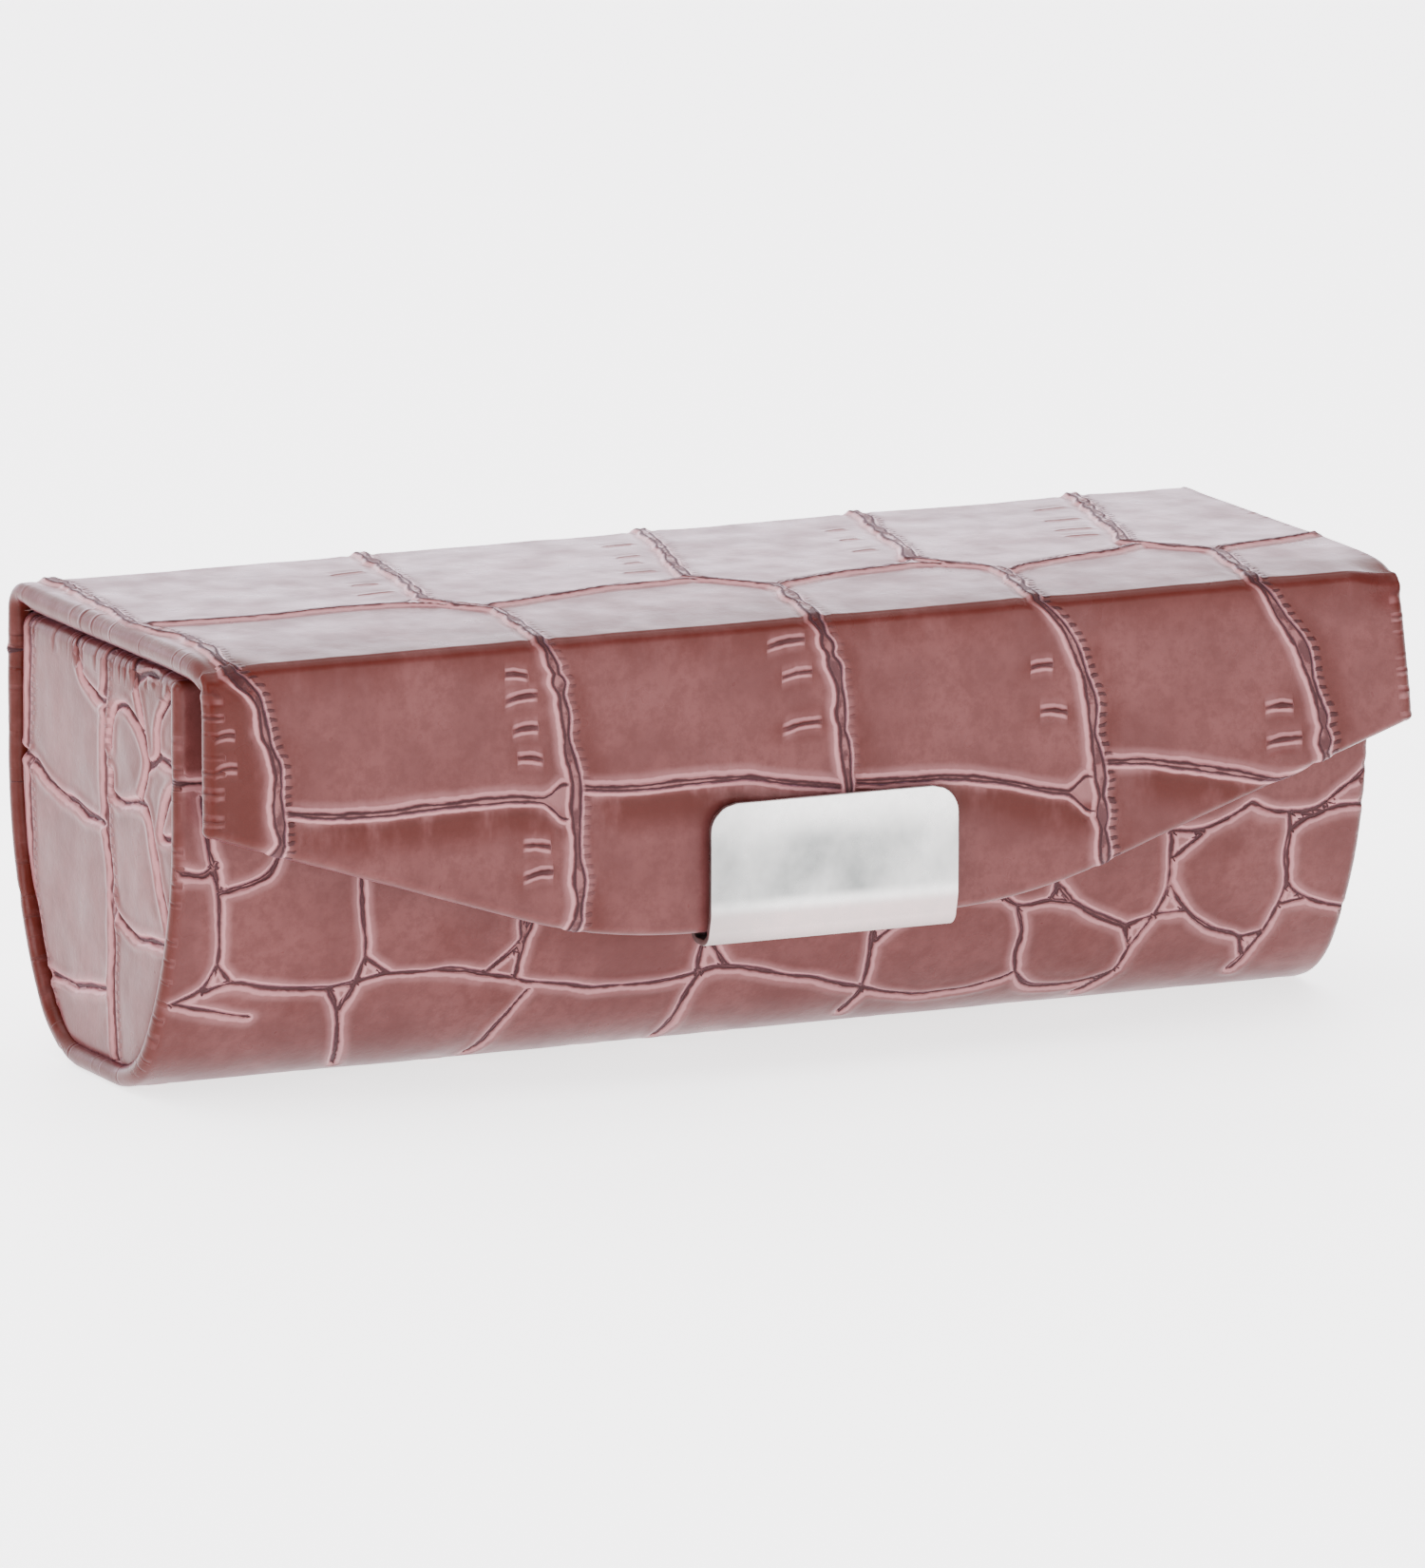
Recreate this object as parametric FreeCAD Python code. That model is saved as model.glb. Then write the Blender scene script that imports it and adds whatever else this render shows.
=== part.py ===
"""Small travel jewelry case: a U-shaped trough with a flat hinged lid and a front flap.

Millimetres. +Z is up, X runs along the case, -Y is the front with the flap and its clasp.
The origin is the centre of the narrow flat strip that the case stands on.
Every separate piece is written to parts/NODE.step.
"""

import FreeCAD
import Part

import math
import os

# ---- driving dimensions -------------------------------------------------------------------
LENGTH = 92.0  # body, lid and flap along X
BODY_HALF_DEPTH = 15.2  # centre plane to the outside of the front and rear walls
HEIGHT = 32.8  # rest strip to the leather on top of the lid
LID_FRONT_Y = -20.6  # outside of the flap
REST_HALF_WIDTH = 3.0  # half of the flat strip under the trough
WALL_START_Z = 20.5  # the walls are upright above this height
BOTTOM_RADIUS = 8.5  # small arc next to the rest strip

LEATHER = 0.5  # embossed cover
BOARD = 0.9  # greyboard inside every panel
LINING = 0.4  # velvet lining
SHEET = 0.5  # clasp sheet metal

END_RECESS = 0.6  # end panels sit this far inside the trough's rims
BODY_TOP_Z = 30.6  # leather edge around the trough's mouth
LID_GAP = 0.4  # lid underside to the trough's mouth

FLAP_DROP_CENTRE = 22.1  # lid top to the flap's lowest edge
FLAP_DROP_END = 12.2  # lid top to the flap's edge at either end
FLAP_SLOPE = 0.33  # rise of the flap's edge towards the ends, per mm
FLAP_KNEE_RADIUS = 43.0  # rounds the flap's edge where it levels out
FOLD_RADIUS = 1.0  # outside radius of the leather at both folds

CLASP_X = 1.1  # the clasp sits a little to the right of the middle
CLASP_WIDTH = 19.0
CLASP_HEIGHT = 9.8
CLASP_CORNER = 2.0
CLASP_REAR_HEIGHT = 6.0
MAGNET = (13.0, 3.0, 4.4)

MIRROR = (74.0, 22.0, 1.1)
MIRROR_PAD = 0.3

ROLL_COUNT = 6
ROLL_PITCH = 9.2
ROLL_RADIUS = 4.55
ROLL_HALF_LENGTH = 12.4
ROLL_END_ROUND = 1.2
FOAM_TOP_Z = 14.6
DIVIDER = 1.2
DIVIDER_TOP_Z = 24.5

STRIKE = (16.0, 0.3, 11.0, 17.0)  # width, thickness, lower and upper Z

# ---- derived levels -----------------------------------------------------------------------
HALF = LENGTH / 2
WALL = LEATHER + BOARD
LID_BOTTOM_Z = BODY_TOP_Z + LID_GAP
LID_THICK = HEIGHT - LID_BOTTOM_Z
BOARD_TOP_Z = BODY_TOP_Z - LEATHER
END_OUTER_X = HALF - END_RECESS
END_BOARD_X = END_OUTER_X - LEATHER
END_LINING_X = END_BOARD_X - BOARD
INNER_X = END_LINING_X - LINING
INNER_HALF_DEPTH = BODY_HALF_DEPTH - WALL - LINING
LID_BOARD_Z = LID_BOTTOM_Z + LINING
LID_REAR_Y = 14.0
FLAP_TOP_Z = LID_BOARD_Z - 0.1
FLAP_BACK_Y = LID_FRONT_Y + LEATHER + BOARD + LINING
LID_FOLD_Y = FLAP_BACK_Y + 0.1
FLAP_LOW_Z = HEIGHT - FLAP_DROP_CENTRE
EDGE_ROUND = 0.4
TURN_IN = 2.0  # leather turned over onto the inside of the lid and flap


def vec(x, y, z):
    return FreeCAD.Vector(x, y, z)


def block(x0, x1, y0, y1, z0, z1):
    """Box between two corners."""
    return Part.makeBox(x1 - x0, y1 - y0, z1 - z0, vec(x0, y0, z0))


def save(name, shape):
    shape.exportStep(os.path.join("parts", name + ".step"))


# ---- trough section -----------------------------------------------------------------------
def side_radius():
    """Radius of the long arc that meets the upright wall and the small bottom arc."""
    w = BODY_HALF_DEPTH - REST_HALF_WIDTH
    h = WALL_START_Z - BOTTOM_RADIUS
    return (w**2 + h**2 - BOTTOM_RADIUS**2) / (2 * (w - BOTTOM_RADIUS))


def trough_section(inset, top, x):
    """Closed face of the trough's outline, inset from the outside, at one X."""
    big = side_radius()
    half = BODY_HALF_DEPTH - inset
    big_c = (BODY_HALF_DEPTH - big, WALL_START_Z)
    small_c = (REST_HALF_WIDTH, BOTTOM_RADIUS)
    turn = math.atan2(big_c[1] - small_c[1], small_c[0] - big_c[0])

    def on(centre, radius, angle, side):
        y = centre[0] + radius * math.cos(angle)
        return vec(x, side * y, centre[1] - radius * math.sin(angle))

    def arcs(side):
        r1, r2 = big - inset, BOTTOM_RADIUS - inset
        meet = on(big_c, r1, turn, side)
        first = Part.Arc(on(big_c, r1, 0, side), on(big_c, r1, turn / 2, side), meet)
        low = on(small_c, r2, math.pi / 2, side)
        second = Part.Arc(meet, on(small_c, r2, (turn + math.pi / 2) / 2, side), low)
        return first, second

    front_long, front_short = arcs(-1)
    rear_long, rear_short = arcs(1)
    corners = [vec(x, -half, top), vec(x, -half, WALL_START_Z)]
    edges = [
        Part.makeLine(*corners),
        front_long.toShape(),
        front_short.toShape(),
        Part.makeLine(vec(x, -REST_HALF_WIDTH, inset), vec(x, REST_HALF_WIDTH, inset)),
        rear_short.toShape(),
        rear_long.toShape(),
        Part.makeLine(vec(x, half, WALL_START_Z), vec(x, half, top)),
        Part.makeLine(vec(x, half, top), vec(x, -half, top)),
    ]
    return Part.Face(Part.Wire(Part.__sortEdges__(edges)))


def trough_solid(inset, top, x0, x1):
    """The filled trough outline between two X planes."""
    return trough_section(inset, top, x0).extrude(vec(x1 - x0, 0, 0))


def trough_skin(outer, inner, top, x0, x1):
    """One layer of the trough's wall, open at the top."""
    over = 1.0
    return trough_solid(outer, top, x0, x1).cut(
        trough_solid(inner, top + over, x0 - over, x1 + over)
    )


# ---- body ---------------------------------------------------------------------------------
def body_board():
    return trough_skin(LEATHER, WALL, BOARD_TOP_Z, -END_OUTER_X, END_OUTER_X)


def body_cover():
    """Leather outside the trough, turned over both rims and the front wall's top edge."""
    skin = trough_skin(0, LEATHER, BOARD_TOP_Z, -HALF, HALF)
    for side in (-1, 1):
        x0, x1 = sorted((side * HALF, side * END_OUTER_X))
        skin = skin.fuse(trough_skin(0, WALL, BOARD_TOP_Z, x0, x1))
    front = block(-HALF, HALF, -BODY_HALF_DEPTH, -INNER_HALF_DEPTH, BOARD_TOP_Z, BODY_TOP_Z)
    front = front.makeFillet(
        EDGE_ROUND,
        [e for e in front.Edges if is_long_edge(e, -BODY_HALF_DEPTH, BODY_TOP_Z)],
    )
    return skin.fuse(front).removeSplitter()


def is_long_edge(edge, y, z):
    """True for the edge that runs along X at this Y and Z."""
    return all(abs(v.Y - y) < 1e-6 and abs(v.Z - z) < 1e-6 for v in edge.Vertexes)


def body_lining():
    return trough_skin(WALL, WALL + LINING, BOARD_TOP_Z, -INNER_X, INNER_X)


def end_panel(side, near, far):
    """A flat layer of one end panel, inside the trough's board."""
    x0, x1 = sorted((side * near, side * far))
    return trough_solid(WALL, BOARD_TOP_Z, x0, x1)


def end_cover(side):
    """Leather of an end panel, turned over its top edge to the inside."""
    x0, x1 = sorted((side * INNER_X, side * END_OUTER_X))
    depth = BODY_HALF_DEPTH - WALL
    edge = block(x0, x1, -INNER_HALF_DEPTH, depth, BOARD_TOP_Z, BODY_TOP_Z)
    return end_panel(side, END_BOARD_X, END_OUTER_X).fuse(edge).removeSplitter()


def strike_plate():
    """Curved steel strip let into the front board, just behind the leather."""
    width, thick, low, high = STRIKE
    x0, x1 = CLASP_X - width / 2, CLASP_X + width / 2
    band = block(x0, x1, -BODY_HALF_DEPTH, 0, low, high)
    return trough_skin(LEATHER, LEATHER + thick, BOARD_TOP_Z, x0, x1).common(band)


# ---- jewelry insert -----------------------------------------------------------------------
def well_end():
    """X where the ring section stops and the divider starts."""
    return -INNER_X + ROLL_COUNT * ROLL_PITCH


def ring_foam():
    """Foam bed under the ring rolls, shaped to the trough."""
    well = trough_solid(WALL + LINING, BODY_TOP_Z, -INNER_X, well_end())
    y = BODY_HALF_DEPTH
    return well.common(block(-HALF, HALF, -y, y, 0, FOAM_TOP_Z))


def ring_rolls():
    """Row of padded rolls; a ring's band slips into the slot between two of them."""
    rolls = []
    for i in range(ROLL_COUNT):
        x = -INNER_X + (i + 0.5) * ROLL_PITCH
        roll = Part.makeCylinder(
            ROLL_RADIUS,
            2 * ROLL_HALF_LENGTH,
            vec(x, -ROLL_HALF_LENGTH, FOAM_TOP_Z + ROLL_RADIUS),
            vec(0, 1, 0),
        )
        ends = [e for e in roll.Edges if isinstance(e.Curve, Part.Circle)]
        rolls.append(roll.makeFillet(ROLL_END_ROUND, ends))
    return Part.makeCompound(rolls)


def compartment_divider():
    return trough_solid(WALL + LINING, DIVIDER_TOP_Z, well_end(), well_end() + DIVIDER)


# ---- folds --------------------------------------------------------------------------------
def bent_strip(x_half, start, corner, end, thick, radius, inward):
    """Strip bent at one rounded corner. The three points lie on its outside, in (Y, Z)."""

    def leg(a, b, length):
        d = (b[0] - a[0], b[1] - a[1])
        n = math.hypot(*d)
        return a[0] + d[0] / n * length, a[1] + d[1] / n * length

    def shifted(point, k):
        return point[0] + inward[0] * k, point[1] + inward[1] * k

    r_in = radius - thick
    centre = shifted(corner, radius)
    half_turn = math.sqrt(0.5)

    def arc(a, b, r):
        mid = (centre[0] - inward[0] * r * half_turn, centre[1] - inward[1] * r * half_turn)
        return Part.Arc(*(vec(-x_half, *p) for p in (a, mid, b))).toShape()

    def line(a, b):
        return Part.makeLine(vec(-x_half, *a), vec(-x_half, *b))

    out_a, out_b = leg(corner, start, radius), leg(corner, end, radius)
    along_y = abs(start[0] - corner[0]) > abs(start[1] - corner[1])
    into_start = (0, inward[1]) if along_y else (inward[0], 0)
    into_end = (inward[0], 0) if along_y else (0, inward[1])
    start_in = (start[0] + into_start[0] * thick, start[1] + into_start[1] * thick)
    end_in = (end[0] + into_end[0] * thick, end[1] + into_end[1] * thick)
    in_a = (out_a[0] + into_start[0] * thick, out_a[1] + into_start[1] * thick)
    in_b = (out_b[0] + into_end[0] * thick, out_b[1] + into_end[1] * thick)
    edges = [
        line(start, out_a),
        arc(out_a, out_b, radius),
        line(out_b, end),
        line(end, end_in),
        line(end_in, in_b),
        arc(in_b, in_a, r_in),
        line(in_a, start_in),
        line(start_in, start),
    ]
    return Part.Face(Part.Wire(edges)).extrude(vec(2 * x_half, 0, 0))


def rear_hinge_leather():
    """The cover's own flexible strip between the rear wall and the lid."""
    y = BODY_HALF_DEPTH
    return bent_strip(
        HALF, (y, BOARD_TOP_Z), (y, HEIGHT), (LID_REAR_Y, HEIGHT), LEATHER, FOLD_RADIUS, (-1, -1)
    )


def rear_hinge_lining():
    """Velvet gusset over the rear wall's edge and up the inside of the hinge leather."""
    y = BODY_HALF_DEPTH - LEATHER
    ledge = block(-INNER_X, INNER_X, INNER_HALF_DEPTH, y, BOARD_TOP_Z, BOARD_TOP_Z + LINING)
    leaf = block(-INNER_X, INNER_X, y - LINING, y, BOARD_TOP_Z, HEIGHT - FOLD_RADIUS)
    return ledge.fuse(leaf).removeSplitter()


def flap_fold_leather():
    """The cover's own flexible strip between the lid and the flap."""
    y = LID_FRONT_Y
    return bent_strip(
        HALF, (LID_FOLD_Y, HEIGHT), (y, HEIGHT), (y, FLAP_TOP_Z), LEATHER, FOLD_RADIUS, (1, -1)
    )


def flap_fold_lining():
    """Velvet across the inside of the front fold."""
    y0 = FLAP_BACK_Y - LINING
    x = HALF - TURN_IN
    leaf = block(-x, x, y0, FLAP_BACK_Y, FLAP_TOP_Z - LINING, LID_BOARD_Z)
    ledge = block(-x, x, y0, FLAP_BACK_Y + LINING, LID_BOTTOM_Z, LID_BOARD_Z)
    return leaf.fuse(ledge).removeSplitter()


# ---- lid ----------------------------------------------------------------------------------
def lid_board():
    x, rear = HALF - LEATHER, LID_REAR_Y - 0.2
    return block(-x, x, LID_FOLD_Y, rear, LID_BOARD_Z, HEIGHT - LEATHER)


def lid_lining():
    x, rear = HALF - TURN_IN, LID_REAR_Y - 0.2
    return block(-x, x, FLAP_BACK_Y + LINING, rear, LID_BOTTOM_Z, LID_BOARD_Z)


def lid_cover():
    """Leather over the lid, turned under at both ends."""
    outer = block(-HALF, HALF, LID_FOLD_Y, LID_REAR_Y, LID_BOTTOM_Z, HEIGHT)
    ends = [e for e in outer.Edges if abs(e.BoundBox.YLength - (LID_REAR_Y - LID_FOLD_Y)) < 1e-6]
    outer = outer.makeFillet(EDGE_ROUND, ends)
    over = 1.0
    x = HALF - TURN_IN
    opening = block(-x, x, LID_FOLD_Y - over, LID_REAR_Y + over, LID_BOTTOM_Z - over, LID_BOARD_Z)
    x = HALF - LEATHER
    cavity = block(-x, x, LID_FOLD_Y - over, LID_REAR_Y + over, LID_BOARD_Z, HEIGHT - LEATHER)
    return outer.cut(opening).cut(cavity)


def mirror_glass():
    width, depth, thick = MIRROR
    z = LID_BOTTOM_Z - MIRROR_PAD
    return block(-width / 2, width / 2, -depth / 2, depth / 2, z - thick, z)


def mirror_pad():
    """Adhesive pad between the mirror and the lid's lining."""
    margin = 2.0
    x, y = MIRROR[0] / 2 - margin, MIRROR[1] / 2 - margin
    return block(-x, x, -y, y, LID_BOTTOM_Z - MIRROR_PAD, LID_BOTTOM_Z)


# ---- flap ---------------------------------------------------------------------------------
def flap_outline(inset, y, top):
    """Face of the flap: level in the middle, sloping up to both ends, inset all round."""
    slope = math.atan(FLAP_SLOPE)
    x_end = HALF - inset
    low = FLAP_LOW_Z + inset
    rise = inset / math.cos(slope)
    end_z = HEIGHT - FLAP_DROP_END - (FLAP_SLOPE * inset) + rise
    bend_x = x_end - (end_z - low) / FLAP_SLOPE
    tangent = (FLAP_KNEE_RADIUS + inset) * math.tan(slope / 2)
    right = {
        "level": (bend_x - tangent, low),
        "mid": None,
        "slope": (bend_x + tangent * math.cos(slope), low + tangent * math.sin(slope)),
        "end": (x_end, end_z),
        "top": (x_end, top),
    }
    radius = FLAP_KNEE_RADIUS + inset
    centre = (bend_x - tangent, low + radius)
    right["mid"] = (
        centre[0] + radius * math.sin(slope / 2),
        centre[1] - radius * math.cos(slope / 2),
    )

    def at(name, side):
        px, pz = right[name]
        return vec(side * px, y, pz)

    def knee(side):
        return Part.Arc(at("level", side), at("mid", side), at("slope", side)).toShape()

    edges = [
        Part.makeLine(at("level", -1), at("level", 1)),
        knee(1),
        Part.makeLine(at("slope", 1), at("end", 1)),
        Part.makeLine(at("end", 1), at("top", 1)),
        Part.makeLine(at("top", 1), at("top", -1)),
        Part.makeLine(at("top", -1), at("end", -1)),
        Part.makeLine(at("end", -1), at("slope", -1)),
        knee(-1),
    ]
    return Part.Face(Part.Wire(Part.__sortEdges__(edges)))


def flap_layer(inset, y0, y1, top=FLAP_TOP_Z):
    return flap_outline(inset, y0, top).extrude(vec(0, y1 - y0, 0))


def flap_board():
    y = LID_FRONT_Y + LEATHER
    return flap_layer(LEATHER, y, y + BOARD)


def flap_lining():
    return flap_layer(TURN_IN, FLAP_BACK_Y - LINING, FLAP_BACK_Y, FLAP_TOP_Z - LINING)


def flap_cover():
    """Leather over the flap, turned round its free edges onto the back."""
    over = 1.0
    y_board = LID_FRONT_Y + LEATHER
    outer = flap_layer(0, LID_FRONT_Y, FLAP_BACK_Y)
    free = [
        e
        for e in outer.Edges
        if e.BoundBox.YLength < 1e-6 and e.BoundBox.ZMin < FLAP_TOP_Z - 1e-3
    ]
    outer = outer.makeFillet(EDGE_ROUND, free)
    cavity = flap_layer(LEATHER, y_board, y_board + BOARD, FLAP_TOP_Z + over)
    opening = flap_layer(TURN_IN, y_board + BOARD, FLAP_BACK_Y + over, FLAP_TOP_Z + over)
    return outer.cut(cavity).cut(opening)


# ---- clasp --------------------------------------------------------------------------------
def clasp_plate():
    """Bent sheet clip: front plate, bottom bend and a shorter leg behind the flap."""
    x = CLASP_WIDTH / 2
    y0, y1 = LID_FRONT_Y - SHEET, FLAP_BACK_Y + SHEET
    z0 = FLAP_LOW_Z - SHEET
    outer = block(CLASP_X - x, CLASP_X + x, y0, y1, z0, z0 + CLASP_HEIGHT)
    bends = [
        e
        for e in outer.Edges
        if abs(e.BoundBox.XLength - CLASP_WIDTH) < 1e-6 and e.BoundBox.ZMax < z0 + 1e-6
    ]
    outer = outer.makeFillet(SHEET + EDGE_ROUND, bends)
    x0, x1 = CLASP_X - x - 1, CLASP_X + x + 1
    inner = block(x0, x1, LID_FRONT_Y, FLAP_BACK_Y, FLAP_LOW_Z, z0 + CLASP_HEIGHT + 1)
    low = [
        e
        for e in inner.Edges
        if e.BoundBox.XLength > CLASP_WIDTH and e.BoundBox.ZMax < FLAP_LOW_Z + 1e-6
    ]
    inner = inner.makeFillet(EDGE_ROUND, low)
    rear_top = z0 + CLASP_REAR_HEIGHT
    spare = block(x0, x1, FLAP_BACK_Y - 0.1, y1 + 1, rear_top, HEIGHT)
    clip = outer.cut(inner).cut(spare)
    tops = [
        e
        for e in clip.Edges
        if abs(e.BoundBox.YLength - SHEET) < 1e-6
        and e.BoundBox.YMax < LID_FRONT_Y + 1e-6
        and e.BoundBox.ZMin > z0 + CLASP_HEIGHT - 1e-6
    ]
    return clip.makeFillet(CLASP_CORNER, tops)


def magnet_base():
    """Y of the face that the magnet is fixed to, and its lower Z."""
    return FLAP_BACK_Y + SHEET, FLAP_LOW_Z + 1.0


def clasp_magnet():
    width, thick, high = MAGNET
    y, z = magnet_base()
    return block(CLASP_X - width / 2, CLASP_X + width / 2, y, y + thick, z, z + high)


def magnet_cup():
    """Thin steel cup around the magnet, open towards the case."""
    wall = 0.3
    width, thick, high = MAGNET
    y, z = magnet_base()
    half = width / 2 + wall
    outer = block(CLASP_X - half, CLASP_X + half, y, y + thick, z - wall, z + high + wall)
    corners = [e for e in outer.Edges if abs(e.BoundBox.YLength - thick) < 1e-6]
    return outer.makeFillet(wall, corners).cut(clasp_magnet())


def main():
    os.makedirs("parts", exist_ok=True)
    save("body_board", body_board().cut(strike_plate()))
    save("body_cover", body_cover())
    save("body_lining", body_lining())
    for name, side in (("left", -1), ("right", 1)):
        save(name + "_end_board", end_panel(side, END_LINING_X, END_BOARD_X))
        save(name + "_end_cover", end_cover(side))
        save(name + "_end_lining", end_panel(side, INNER_X, END_LINING_X))
    save("strike_plate", strike_plate())
    save("ring_foam", ring_foam())
    save("ring_rolls", ring_rolls())
    save("compartment_divider", compartment_divider())
    save("rear_hinge_leather", rear_hinge_leather())
    save("rear_hinge_lining", rear_hinge_lining())
    save("lid_board", lid_board())
    save("lid_cover", lid_cover())
    save("lid_lining", lid_lining())
    save("mirror_glass", mirror_glass())
    save("mirror_pad", mirror_pad())
    save("flap_fold_leather", flap_fold_leather())
    save("flap_fold_lining", flap_fold_lining())
    save("flap_board", flap_board())
    save("flap_cover", flap_cover())
    save("flap_lining", flap_lining())
    save("clasp_plate", clasp_plate())
    save("clasp_magnet", clasp_magnet())
    save("magnet_cup", magnet_cup())


main()
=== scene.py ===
"""Looks of the small travel jewelry case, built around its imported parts.

Lengths inside the helper functions are millimetres in the part's own frame: X along the case,
-Y towards the flap, +Z up. Meshes are scaled to metres as they are made.
"""

import math

import bpy
import numpy as np
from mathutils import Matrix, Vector


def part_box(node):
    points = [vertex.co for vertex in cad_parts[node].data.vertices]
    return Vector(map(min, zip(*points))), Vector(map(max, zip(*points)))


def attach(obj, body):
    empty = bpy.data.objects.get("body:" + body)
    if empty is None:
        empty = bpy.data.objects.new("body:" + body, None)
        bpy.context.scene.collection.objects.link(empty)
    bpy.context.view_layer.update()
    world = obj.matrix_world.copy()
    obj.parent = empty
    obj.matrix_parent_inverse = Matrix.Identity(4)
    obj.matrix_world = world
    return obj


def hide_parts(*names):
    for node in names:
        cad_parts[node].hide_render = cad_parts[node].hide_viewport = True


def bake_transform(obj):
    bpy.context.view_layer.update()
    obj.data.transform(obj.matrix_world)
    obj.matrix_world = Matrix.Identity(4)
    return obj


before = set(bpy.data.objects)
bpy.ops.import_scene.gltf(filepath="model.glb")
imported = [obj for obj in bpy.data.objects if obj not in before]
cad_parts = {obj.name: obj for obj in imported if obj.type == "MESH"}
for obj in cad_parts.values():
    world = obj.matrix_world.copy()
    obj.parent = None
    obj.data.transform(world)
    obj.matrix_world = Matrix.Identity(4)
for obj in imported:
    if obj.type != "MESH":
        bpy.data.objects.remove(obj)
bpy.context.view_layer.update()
MM = 0.001


def span(node):
    """Lowest and highest corner of a part, in millimetres."""
    low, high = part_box(node)
    return [v / MM for v in low], [v / MM for v in high]


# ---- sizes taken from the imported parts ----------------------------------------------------
HALF = span("lid_cover")[1][0]
TOP = span("lid_cover")[1][2]
LID_UNDER = span("lid_cover")[0][2]
HINGE_Y = span("rear_hinge_leather")[1][1]
FRONT_Y = span("flap_cover")[0][1]
FLAP_BACK = span("flap_cover")[1][1]
FLAP_LOW = span("flap_cover")[0][2]
MOUTH = span("body_cover")[1][2]
END_FACE = span("right_end_cover")[1][0]
INNER_X = span("right_end_lining")[0][0]

# ---- sizes of the trough's outline --------------------------------------------------------
REST_HALF = 3.0
WALL_Z = 20.5
R_SMALL = 8.5
R_LARGE = ((HINGE_Y - REST_HALF) ** 2 + (WALL_Z - R_SMALL) ** 2 - R_SMALL**2) / (
    2 * (HINGE_Y - REST_HALF - R_SMALL)
)
TURN = math.atan2(WALL_Z - R_SMALL, REST_HALF - HINGE_Y + R_LARGE)
WALL_RUN = MOUTH - WALL_Z
ARC_RUN = R_LARGE * TURN
ROUND_RUN = R_SMALL * (math.pi / 2 - TURN)
HALF_RUN = WALL_RUN + ARC_RUN + ROUND_RUN + REST_HALF

RIM = 0.73  # edge radius of the trough's wall
SLAB = 0.9  # edge radius of the lid and flap
CREASE_R = 0.9  # outside radius of the front fold
HINGE_R = 2.1  # outside radius of the rear fold
SEAM_Z = 27.4  # where the lid's leather meets the trough's leather, on the rear wall
LAST_ROW = HINGE_Y - FRONT_Y + (math.pi / 2 - 2) * HINGE_R + TOP - SEAM_Z - 0.55
FINE = 1.0  # coarser meshes while trying things


# ---- small numeric helpers ----------------------------------------------------------------
def noise(x, y, size, seed):
    """Smooth random field in -1 to 1. One cell is size mm wide."""
    table = np.random.RandomState(seed).rand(128, 128) * 2 - 1
    gx, gy = np.asarray(x) / size + 512, np.asarray(y) / size + 512
    ix, iy = np.floor(gx).astype(int), np.floor(gy).astype(int)
    fx, fy = gx - ix, gy - iy
    fx, fy = fx * fx * (3 - 2 * fx), fy * fy * (3 - 2 * fy)

    def at(a, b):
        return table[(ix + a) % 128, (iy + b) % 128]

    low = at(0, 0) * (1 - fx) + at(1, 0) * fx
    high = at(0, 1) * (1 - fx) + at(1, 1) * fx
    return low * (1 - fy) + high * fy


def ramp(value, start, end):
    """Smooth step from 0 at start to 1 at end."""
    t = np.clip((np.asarray(value, float) - start) / (end - start), 0, 1)
    return t * t * (3 - 2 * t)


def bump(value, width):
    """Round pulse around zero."""
    return np.exp(-((value / width) ** 2))


def steps(start, end, size):
    """Evenly spaced samples, about size apart."""
    count = max(2, int(round(abs(end - start) / (size * FINE))) + 1)
    return np.linspace(start, end, count)


def join_steps(*parts):
    """Sample runs end to end, without doubled points."""
    out = [parts[0]]
    out.extend(p[1:] for p in parts[1:])
    return np.concatenate(out)


def rounded(line, rounds=2):
    """Polyline with its corners cut smooth."""
    pts = np.array(line, float)
    for _ in range(rounds):
        if len(pts) < 3:
            break
        a, b = pts[:-1], pts[1:]
        cut = np.empty((2 * len(a), pts.shape[1]))
        cut[0::2] = a * 0.75 + b * 0.25
        cut[1::2] = a * 0.25 + b * 0.75
        pts = np.vstack([pts[:1], cut[1:-1], pts[-1:]])
    return pts


def line_distance(lines, u, v):
    """Distance from every grid point to the nearest line, signed by the point's side of it."""
    out, sign = np.full(u.shape, 9.0), np.ones(u.shape)
    reach = 3.0
    for line in lines:
        pts = rounded(line)
        for (x0, y0), (x1, y1) in zip(pts[:-1], pts[1:]):
            near = (u > min(x0, x1) - reach) & (u < max(x0, x1) + reach)
            near &= (v > min(y0, y1) - reach) & (v < max(y0, y1) + reach)
            if not near.any():
                continue
            a, b = u[near] - x0, v[near] - y0
            dx, dy = x1 - x0, y1 - y0
            t = np.clip((a * dx + b * dy) / (dx * dx + dy * dy + 1e-9), 0, 1)
            gap = np.hypot(a - t * dx, b - t * dy)
            closer = gap < out[near]
            out[near] = np.where(closer, gap, out[near])
            sign[near] = np.where(closer, np.where(a * dy - b * dx > 0, 1.0, -1.0), sign[near])
    return out * sign


# ---- mesh helpers -------------------------------------------------------------------------
def grid_faces(rows, cols, start=0, flip=False, wrap=False):
    """Quads of a rows by cols grid of vertices."""
    index = np.arange(rows * cols).reshape(rows, cols) + start
    if wrap:
        index = np.hstack([index, index[:, :1]])
    a, b, c, d = index[:-1, :-1], index[:-1, 1:], index[1:, 1:], index[1:, :-1]
    quads = np.stack([a, b, c, d] if not flip else [a, d, c, b], axis=-1)
    return quads.reshape(-1, 4)


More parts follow.
